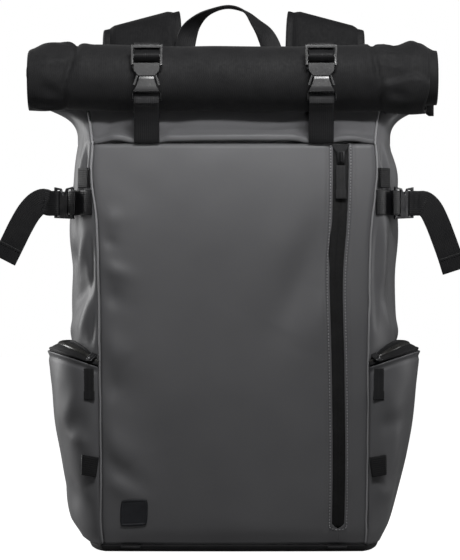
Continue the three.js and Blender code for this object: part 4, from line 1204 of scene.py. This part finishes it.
def pocket_relief(side, t, v):
    """How far a pocket's cloth stands off its CAD surface."""
    u, z = t * POCKET_WIDTH, v * rim_height(t)
    height = ridges(u, z, POCKET_FOLDS[side]) + 0.8 * ripple(u, z, 95, 0.4 if side == "left" else 2.9)
    edge = smoothstep(np.minimum(u, POCKET_WIDTH - u), 0, 16)
    edge = edge * smoothstep(v, 0.06, 0.16) * (1 - smoothstep(v, 0.9, 0.99))
    below = (1 - v) * POCKET_H
    rim = 0.9 * hill(below, 0, 2.2) - 0.8 * hill(below, 5, 2.2)
    if side == "left":
        sag = smoothstep(v, 0.035, 0.07) * (1 - smoothstep(v, 0.08, 0.36)) * smoothstep(t, 0, 0.25)
        rim = rim + 3 * sag * (1 - smoothstep(t, 0.75, 1))
    return height * edge + rim


# Pitch of the pocket zips' coil
COIL_PITCH = 1.5


def side_pockets():
    levels = np.concatenate([np.linspace(0.04, 0.94, 70), np.linspace(0.95, 1, 10)])
    t, v = np.meshgrid(np.linspace(0, 1, 66), levels)
    along = np.linspace(0.004, 0.996, 300)
    seldom = along[::3]
    for side, sign in SIDES:
        outer = pocket_point(t, v, FABRIC)
        normal = grid_normals(outer)
        outer = outer + normal * pocket_relief(side, t, v)[..., None]
        inner = outer - normal * FABRIC * 0.8
        sew(f"pocket_{side}_cloth", "fabric", outer, inner, f"pocket_{side}", sides=sign)
        # The zip: two tapes with a bound edge each, and the coil between them.
        w = np.linspace(0, 1, 13)[:, None]
        low = tape_point(along + 0 * w, w + 0 * along, 1.2 * np.sin(np.pi * w) ** 0.7)
        high = low + vec(0, 0, TAPE_T * 0.6)
        sew(f"pocket_tapes_{side}", "tape", high, low, f"pocket_zip_{side}", sides=sign)
        near = tape_point(along, 0.36 + 0 * along, TAPE_T + 1.0)
        far = tape_point(along, 0.62 + 0 * along, TAPE_T + 1.4)
        middle = (near + far) / 2
        tooth = 0.5 + 0.5 * np.cos(2 * np.pi * lengths(middle) / COIL_PITCH)
        wide = np.linspace(-0.5, 0.5, 9)
        crown = 1.3 * (1 - (2 * np.abs(wide)) ** 2.5) - 0.5 * hill(wide, 0, 0.06)
        grid = middle[None] + (far - near)[None] * wide[:, None, None]
        grid = grid + UP * (crown[:, None] * (0.6 + 0.5 * tooth[None, :]))[..., None]
        sew(f"pocket_coil_{side}", "coil", grid, grid - UP, sides=sign)
        bound = Shape()
        add_tube(bound, tape_point(seldom, 0.03 + 0 * seldom, TAPE_T * 0.7), 1.15)
        add_tube(bound, tape_point(seldom, 0.97 + 0 * seldom, TAPE_T * 0.9), 1.2)
        bound.make(f"pocket_bindings_{side}", "binding", sides=sign)
        refined(f"pocket_slider_{side}", "metal", 0.5)
        off = FABRIC + PULLER_T / 2 + 0.5
        shares = 0.98 - np.linspace(0, PULLER_L, 8) / POCKET_H
        path = pocket_point(PULLER_AT + 0 * shares, shares, off)
        across = pocket_point(np.array(PULLER_AT + 0.05), np.array(0.98), off) - path[0]
        ribbon(f"pocket_ribbon_{side}", catmull(path, 1.0), across, f"pocket_puller_{side}", sides=sign)


# Patch, tabs and folded loops


def front_patch():
    """A bare moulded patch with a raised rim, sewn down inside it."""
    u, v = np.meshgrid(np.linspace(-1, 1, 45), np.linspace(-1, 1, 45))
    # Rounded corners, and edges that lean a little.
    keep = 1 - 0.085 * (u * u * v * v) ** 1.5
    x = PATCH_X + (u * keep + 0.03 * v) * PATCH_SIDE / 2
    z = PATCH_Z + (v * keep + 0.05 * u) * PATCH_SIDE / 2
    edge = (1 - np.maximum(np.abs(u), np.abs(v))) * PATCH_SIDE / 2
    height = PATCH_T * smoothstep(edge, -0.6, 0.7) + 0.35 * hill(edge, 1.4, 0.7)
    height = height - 0.3 * hill(edge, 3.0, 0.5)
    base = front_at(x, z)
    relief = front_relief(x, z)[..., None]
    outer = base + FRONT * (relief + 0.2 + height[..., None])
    sew("front_patch_bare", "rubber", outer, base + FRONT * (relief + 0.1), "front_patch")


def folded_tab(name, root, out, across, width, length, node, sides=1):
    """A loop of webbing that leaves a seam and comes back to it."""
    spread_by = unit(np.cross(out, across)) * WEB_T * 0.85
    turn = np.linspace(np.pi / 2, -np.pi / 2, 9)[:, None]
    bend = root + out * (length - 1.6) + out * 1.6 * np.cos(turn) + spread_by * np.sin(turn)
    half_way = root + out * length * 0.5
    there = [root + spread_by, half_way + spread_by * 1.1]
    back = [half_way - spread_by * 1.1, root - spread_by]
    path = catmull(np.concatenate([there, bend, back]), 0.8)
    band(name, "webbing", path, across, width, WEB_T * 0.92, node, sides=sides)


def seam_tabs():
    off = FABRIC + SEAM_GAP + 2 * WEB_T
    level = np.array(SIDE_TAB_Z / POCKET_H)
    root = pocket_point(np.array(0.0), level, off)
    loop_out = unit(pocket_point(np.array(0.12), level, off + 3 * WEB_T) - root)
    base = front_at(BASE_TAB_X, BASE_RIM)
    place = np.array([base[0], base[1] - SEAM_GAP, BASE_RIM - 1.5 * WEB_T])
    z = HOOK_Z + WEB_W / 2 + KEEPER_H / 2 + 2
    keeper = beside(0.01, z, LAID + WEB_T)
    keeper_out = unit(beside(0.1, z, LAID + WEB_T) - keeper)
    # Columns: piece, root, way out, way across, width, length, node
    tabs = [
        ["seam_loop", root, loop_out, UP, SIDE_TAB_H, SIDE_TAB_OUT, "side_tab"],
        ["base_loop", place, FRONT, ACROSS, BASE_TAB_W, BASE_TAB_OUT, "base_tab"],
        ["keeper", keeper, keeper_out, UP, KEEPER_H, SIDE_TAB_OUT, "side_keeper"],
    ]
    for side, sign in SIDES:
        for name, *shape, node in tabs:
            folded_tab(f"{name}_{side}", *shape, f"{node}_{side}", sign)


# Roll straps


def on_buckle(x, depth, along):
    """A point of a buckle's own plane: depth towards the roll, and place along the buckle."""
    away = ROLL_R + ROLL_CLOTH / 2 + LAY_GAP + BUCKLE_T / 2
    c, s = math.cos(BUCKLE_TILT), math.sin(BUCKLE_TILT)
    y = ROLL_Y - away * c - BUCKLE_DROP * s + depth * c + along * s
    return [x, y, ROLL_Z + away * s - BUCKLE_DROP * c - depth * s + along * c]


# The upper webbing's way into the buckle. Columns: depth, place along the buckle
UPPER_LACING = [[3.2, 31], [3.2, 25.7], [-2.4, 18.4], [-2.4, 16.2], [1.2, 12.6]]
# The lower webbing round the buckle's bar. Columns: depth / its distance from the bar, place along
LOWER_LACING = [[-0.9, -31], [-1, -26], [-0.8, -24], [0, -23.2], [0.8, -24], [1, -26], [0.9, -31]]


def roll_straps():
    lift = read_table(ROLL_ENDS, 2 * BUCKLE_X / ROLL_LENGTH)[1]
    over = ROLL_CLOTH / 2 + LAY_GAP + WEB_T / 2
    off = BUCKLE_T / 4 + LAID + 0.1
    for side, sign in SIDES:
        x = BUCKLE_X * sign
        upper = [[x, SHEET_Y + over, MOUTH_Z + 2], [x, SHEET_Y + over, ROLL_Z - 6]]
        for turn in np.linspace(0.02, 0.33, 9):
            r = ROLL_R - ROLL_PITCH * turn + over + 0.6
            a = turn * 2 * np.pi
            upper.append([x, ROLL_Y + r * np.cos(a), ROLL_Z + r * np.sin(a) + lift * ROLL_R])
        upper += [on_buckle(x, depth, along) for depth, along in UPPER_LACING]
        path = catmull(upper, 1.2)
        band(f"roll_webbing_{side}", "webbing", path, ACROSS, WEB_W, WEB_T, f"roll_strap_{side}")
        lower = [on_buckle(x, share * off, along) for share, along in LOWER_LACING]
        foot = front_at(x, BODY_H) + [0, -WEB_T - 1.4, 2]
        end = foot + [0, 1.4, -2.5]
        lower += [(foot + np.array(lower[-1])) / 2 + [0, 0.6, 0], foot, end]
        path = catmull(lower, 1.2)
        band(f"yoke_webbing_{side}", "webbing", path, ACROSS, WEB_W, WEB_T, f"yoke_strap_{side}")
        refined(f"buckle_prongs_{side}", "plastic", 0.7)
        refined(f"buckle_socket_{side}", "plastic", 0.7)


# Side straps

# Webbing round the inner bar of the hook plate. Columns: along the plate, depth behind it
HOOK_BAR_LOOP = [
    [-5, LAID + HOOK_T],
    [1.2, LAID + 0.75 * HOOK_T],
    [2.1 * HOOK_BAR, 0.6 * HOOK_T],
    [2.1 * HOOK_BAR, -0.6 * HOOK_T],
    [1.2, -LAID - 0.75 * HOOK_T],
    [-5, -LAID - HOOK_T],
]
# Columns: outwards, backwards and down / TAIL_LENGTH
TAIL_ROUTES = {
    "left": [
        [0.06, 0.01, -0.03],
        [0.14, 0.02, 0.0],
        [0.24, 0.03, 0.1],
        [0.35, 0.04, 0.28],
        [0.46, 0.05, 0.5],
        [0.57, 0.06, 0.72],
    ],
    "right": [
        [0.06, 0.01, 0.0],
        [0.14, 0.02, 0.07],
        [0.22, 0.03, 0.22],
        [0.3, 0.04, 0.42],
        [0.38, 0.05, 0.64],
        [0.45, 0.06, 0.86],
    ],
}


def on_hook(along, depth):
    """A point of the right hook plate's own plane, at its middle height."""
    o = beside(HOOK_AT, HOOK_Z, LAID + HOOK_T + 2)
    c, s = math.cos(HOOK_TURN), math.sin(HOOK_TURN)
    return np.array([o[0] + along * c - depth * s, o[1] + along * s + depth * c, o[2]])


def side_straps():
    for side, sign in SIDES:
        laid = [beside(t, HOOK_Z, LAID + 0.2) for t in np.linspace(0.015, 0.13, 4)]
        loop = [on_hook(along, depth) for along, depth in HOOK_BAR_LOOP]
        path = catmull([*laid, *loop[1:]], 0.9)
        name = f"side_anchor_webbing_{side}"
        # The anchors' webbing is darker than the other webbing: painted shade.
        band(name, "tab", path, UP, WEB_W, WEB_T, f"side_anchor_{side}", sides=sign)
        refined(f"side_hook_{side}", "metal", 0.55)
        laid = [beside(t, HOOK_Z, LAID + 0.2) for t in np.linspace(0.97, 0.5, 11)]
        back = [on_hook(HOOK_W - along, depth) for along, depth in HOOK_BAR_LOOP]
        tail = [
            back[-1] + np.array([out, behind, -down]) * TAIL_LENGTH
            for out, behind, down in TAIL_ROUTES[side]
        ]
        path = catmull([*laid, *back, *tail], 1.2)
        band(f"side_webbing_{side}", "webbing", path, UP, WEB_W, WEB_T, f"side_strap_{side}", sides=sign)
        # The free end is folded back on itself and sewn.
        hem = path[-14:]
        tangent = unit(np.gradient(hem, axis=0))
        face = np.cross(tangent, unit(UP - tangent * (tangent @ UP)[:, None]))
        fold = hem + face * WEB_T * 0.95
        band(f"side_hem_{side}", "webbing", fold, UP, WEB_W * 0.99, WEB_T * 0.9, sides=sign)
        wide = unit(UP - tangent[2] * (tangent[2] @ UP))
        thread = Shape()
        for direction, lift in ((1, 1.5), (-1, 0.5)):
            line = hem[2] + wide * np.linspace(-10.5, 10.5, 20)[:, None] + face[2] * direction * WEB_T * lift
            add_stitches(thread, line, np.tile(face[2] * direction, (20, 1)), pitch=2.6, radius=0.3)
        thread.make(f"side_hem_stitches_{side}", "binding", sides=sign)


# Handle and shoulder straps

# Columns: across / half of HANDLE_SPAN, behind its ends / HANDLE_RISE, height / HANDLE_RISE
HANDLE_ROUTE = [
    [-1.0, 0, 0],
    [-1.02, 0, 0.4],
    [-1.02, 0, 0.72],
    [-0.92, 0.01, 0.84],
    [-0.75, 0.01, 0.91],
    [-0.48, 0.02, 0.97],
    [-0.1, 0.02, 1.0],
    [0.25, 0.02, 0.965],
    [0.48, 0.01, 0.885],
    [0.68, 0.01, 0.8],
    [0.84, 0, 0.66],
    [0.98, 0, 0.35],
    [1.0, 0, 0],
]
# Columns: behind the root / STRAP_BACK, height from the root / STRAP_RISE, spread / STRAP_SPREAD
STRAP_ROUTE = [
    [0.0, 0.0, 0.0],
    [0.02, 0.4, 0.06],
    [0.12, 0.76, 0.13],
    [0.38, 0.98, 0.18],
    [0.68, 0.93, 0.22],
    [0.9, 0.66, 0.28],
    [0.99, 0.2, 0.36],
    [1.0, -0.4, 0.5],
    [0.92, -1.0, 0.76],
    [0.72, -1.68, 1.0],
]
ROOT_Z = BODY_H - ROOT_DROP
BACK_Y = float(section_at(ROOT_Z)["back_y"])


def grab_handle():
    y = BACK_Y + SEAM_GAP + HANDLE_T / 2
    path = catmull([
        [x * HANDLE_SPAN / 2, y + back * HANDLE_RISE, ROOT_Z + up * HANDLE_RISE]
        for x, back, up in HANDLE_ROUTE
    ], 2.0)
    share = np.linspace(0, 1, len(path))
    turn = smoothstep(0.5 - np.abs(share - 0.5), 0.28, 0.5) * np.pi / 2
    across = vec(np.cos(turn), np.sin(turn), 0)
    band("handle_webbing", "webbing", path, across, HANDLE_W, HANDLE_T, "grab_handle")


def strap_section():
    """A padded strap's outline, along its upper face and back: shares of width and of thickness."""
    u = np.linspace(-1, 1, 25)
    full = 0.5 * (1 - 0.62 * smoothstep(np.abs(u), 0.74, 0.97))
    top = np.stack([u / 2, full], -1)
    under = np.stack([u[::-1] / 2, -full], -1)
    return np.concatenate([under[::-1], top[::-1]])


def shoulder_straps():
    root_y = BACK_Y + 2 * SEAM_GAP + HANDLE_T + STRAP_T / 2
    end_drop = (ROOT_Z - STRAP_END) / STRAP_RISE
    for side, sign in SIDES:
        route = []
        for back, up, outward in STRAP_ROUTE:
            height = up / -STRAP_ROUTE[-1][1] * end_drop if up < 0 else up
            x = STRAP_X + outward * STRAP_SPREAD
            route.append([x, root_y + back * STRAP_BACK, ROOT_Z + height * STRAP_RISE])
        path = catmull(route, 5.0)
        share = np.linspace(0, 1, len(path))
        fall = STRAP_TILT * smoothstep(share, 0.02, 0.3)
        across = vec(np.cos(fall), 0, -np.sin(fall) * np.where(share < 0.6, 1, 0.4))
        # The padding ends a little inside the strap's rounded lower end.
        narrow = 1 - 0.35 * smoothstep(share, 0.93, 1.0) ** 2
        section = strap_section() * np.array([STRAP_W - 3, STRAP_T - 2.5])
        section = section * np.stack([narrow, 0.45 + 0.55 * (1 - smoothstep(share, 0.95, 1.0))], -1)[:, None]
        rings = band_rings(path, across, section)
        shape = Shape()
        run = lengths(path)
        shape.rings(rings, vec(section[..., 0] + STRAP_W, run[:, None], 0))
        piece = shape.make(f"shoulder_pad_{side}", "strap", f"shoulder_strap_{side}", sides=sign)
        held = np.abs(section[..., 0]) > 0.41 * STRAP_W
        held = held | ((share < 0.03) | (share > 0.97))[:, None]
        inflate(piece, held.ravel(), pressure=1.0, most=1.8)
        edges = Shape()
        for edge in (-1, 1):
            offset = edge * (STRAP_W / 2 - 2.2)
            outline = webbing_section(7.5, 4.6, 8) + [offset, 0]
            outline = outline[None] * np.stack([narrow, 1 - 0.4 * smoothstep(share, 0.95, 1)], -1)[:, None]
            rim = band_rings(path, across, outline)
            edges.rings(rim, vec(outline[..., 0], run[:, None], 0))
        edges.make(f"shoulder_binding_{side}", "binding", sides=sign)
        lower_webbing(side, sign, path[-1], unit(path[-1] - path[-2]))


def lower_webbing(side, sign, end, down):
    """The ladder at a strap's lower end and its webbing down to the base."""
    middle = end + down * (ADJUSTER_H / 2 + SEAM_GAP)
    x_axis = unit(ACROSS - -down * (ACROSS @ -down))
    y_axis = np.cross(-down, x_axis)
    h = ADJUSTER_H / 2
    s = section_at(ANCHOR_Z)
    anchor = np.array([0.9 * s["back_x"], s["back_y"] + LAID, ANCHOR_Z])
    off = ADJUSTER_T / 2 + LAID + 0.1
    # Columns: depth behind the ladder, place along it
    lacing = [[off + 1, h - 0.6], [off + 1, h - 1.4], [-off, 1.4], [-off, -1.4], [off + 1, 1 - h],
              [off + 1, -h - 3]]
    route = [middle + y_axis * depth - down * along for depth, along in lacing]
    half_way = anchor + (middle - anchor) * 0.45 + [0, 0.06 * STRAP_BACK, 0]
    path = catmull([*route, half_way, anchor + [0, 2, 12], anchor], 1.5)
    name = f"shoulder_webbing_{side}"
    band(name, "webbing", path, ACROSS, WEB_W, WEB_T, f"shoulder_web_{side}", sides=sign)
    refined(f"strap_adjuster_{side}", "plastic", 0.5)


roll_top()
side_pockets()
front_patch()
seam_tabs()
roll_straps()
side_straps()
grab_handle()
shoulder_straps()


# Camera, light and floor

CAMERA_AT = (-3.8, -2468, 259)
CAMERA_LENS = 197.7
AMBIENT = 0.1
# Columns: name, place, aim and size in metres, watts, degrees of its cone
LIGHTS = [
    ["main", (0.2, -0.98, 1.36), (0, -0.05, 0.48), (0.7, 0.26), 2.15, 60],
    ["card", (-0.22, -1.3, 1.02), (-0.08, -0.06, 0.46), (0.28, 0.3), 0.03, 40],
    ["left", (-1.6, 0.85, 0.7), (0, 0, 0.25), (0.6, 1.5), 13, 120],
    ["low", (0.05, -1.5, 0.32), (0, -0.05, 0.4), (0.9, 0.08), 0.07, 8],
    ["right", (1.7, 0.3, 0.6), (0, 0, 0.2), (0.6, 1.2), 2.0, 90],
]


def camera():
    data = bpy.data.cameras.new("camera")
    data.lens, data.sensor_width, data.sensor_fit = CAMERA_LENS, 36, "HORIZONTAL"
    data.clip_start, data.clip_end = 0.1, 60
    eye = bpy.data.objects.new("camera", data)
    eye.location = Vector(CAMERA_AT) * MM
    eye.rotation_euler = (math.pi / 2, 0, 0)
    bpy.context.scene.collection.objects.link(eye)
    bpy.context.scene.camera = eye


def area_light(name, place, aim, size, power, cone):
    data = bpy.data.lights.new(name, "AREA")
    data.shape, data.size, data.size_y = "RECTANGLE", *size
    data.energy, data.spread = power, math.radians(cone)
    lamp = bpy.data.objects.new(name, data)
    lamp.location = place
    lamp.rotation_euler = (Vector(aim) - Vector(place)).to_track_quat("-Z", "Y").to_euler()
    bpy.context.scene.collection.objects.link(lamp)


def seen_white(tree, unseen):
    """1 for what the camera sees directly, and another value as a light on the rest."""
    seen = add_node(tree, "LightPath").outputs["Is Camera Ray"]
    return spread(tree, seen, unseen, 1.0, 0.0, 1.0)


def studio():
    scene = bpy.context.scene
    scene.view_settings.view_transform = "Standard"
    world = bpy.data.worlds.new("studio")
    scene.world = world
    world.use_nodes = True
    background = world.node_tree.nodes["Background"]
    world.node_tree.links.new(seen_white(world.node_tree, AMBIENT), background.inputs["Strength"])
    background.inputs["Color"].default_value = (1, 1, 1, 1)
    ring = np.linspace(0, 2 * np.pi, 65)[:-1]
    mesh = bpy.data.meshes.new("floor")
    mesh.from_pydata(vec(6 * np.cos(ring), 6 * np.sin(ring), -FLOOR_GAP * MM).tolist(), [], [list(range(64))])
    floor = bpy.data.objects.new("floor", mesh)
    material, tree, shader = new_material("floor", Roughness=0.9)
    shader.inputs["Emission Color"].default_value = (1, 1, 1, 1)
    tone = spread(tree, noise(tree, 3), 0, 1)
    colour = mix_colour(tree, tone, (0.24, 0.24, 0.24), (0.27, 0.27, 0.27))
    link(tree, shader, Base_Color=colour, Emission_Strength=seen_white(tree, 0.0))
    mesh.materials.append(material)
    scene.collection.objects.link(floor)
    for light in LIGHTS:
        area_light(*light)


studio()
camera()
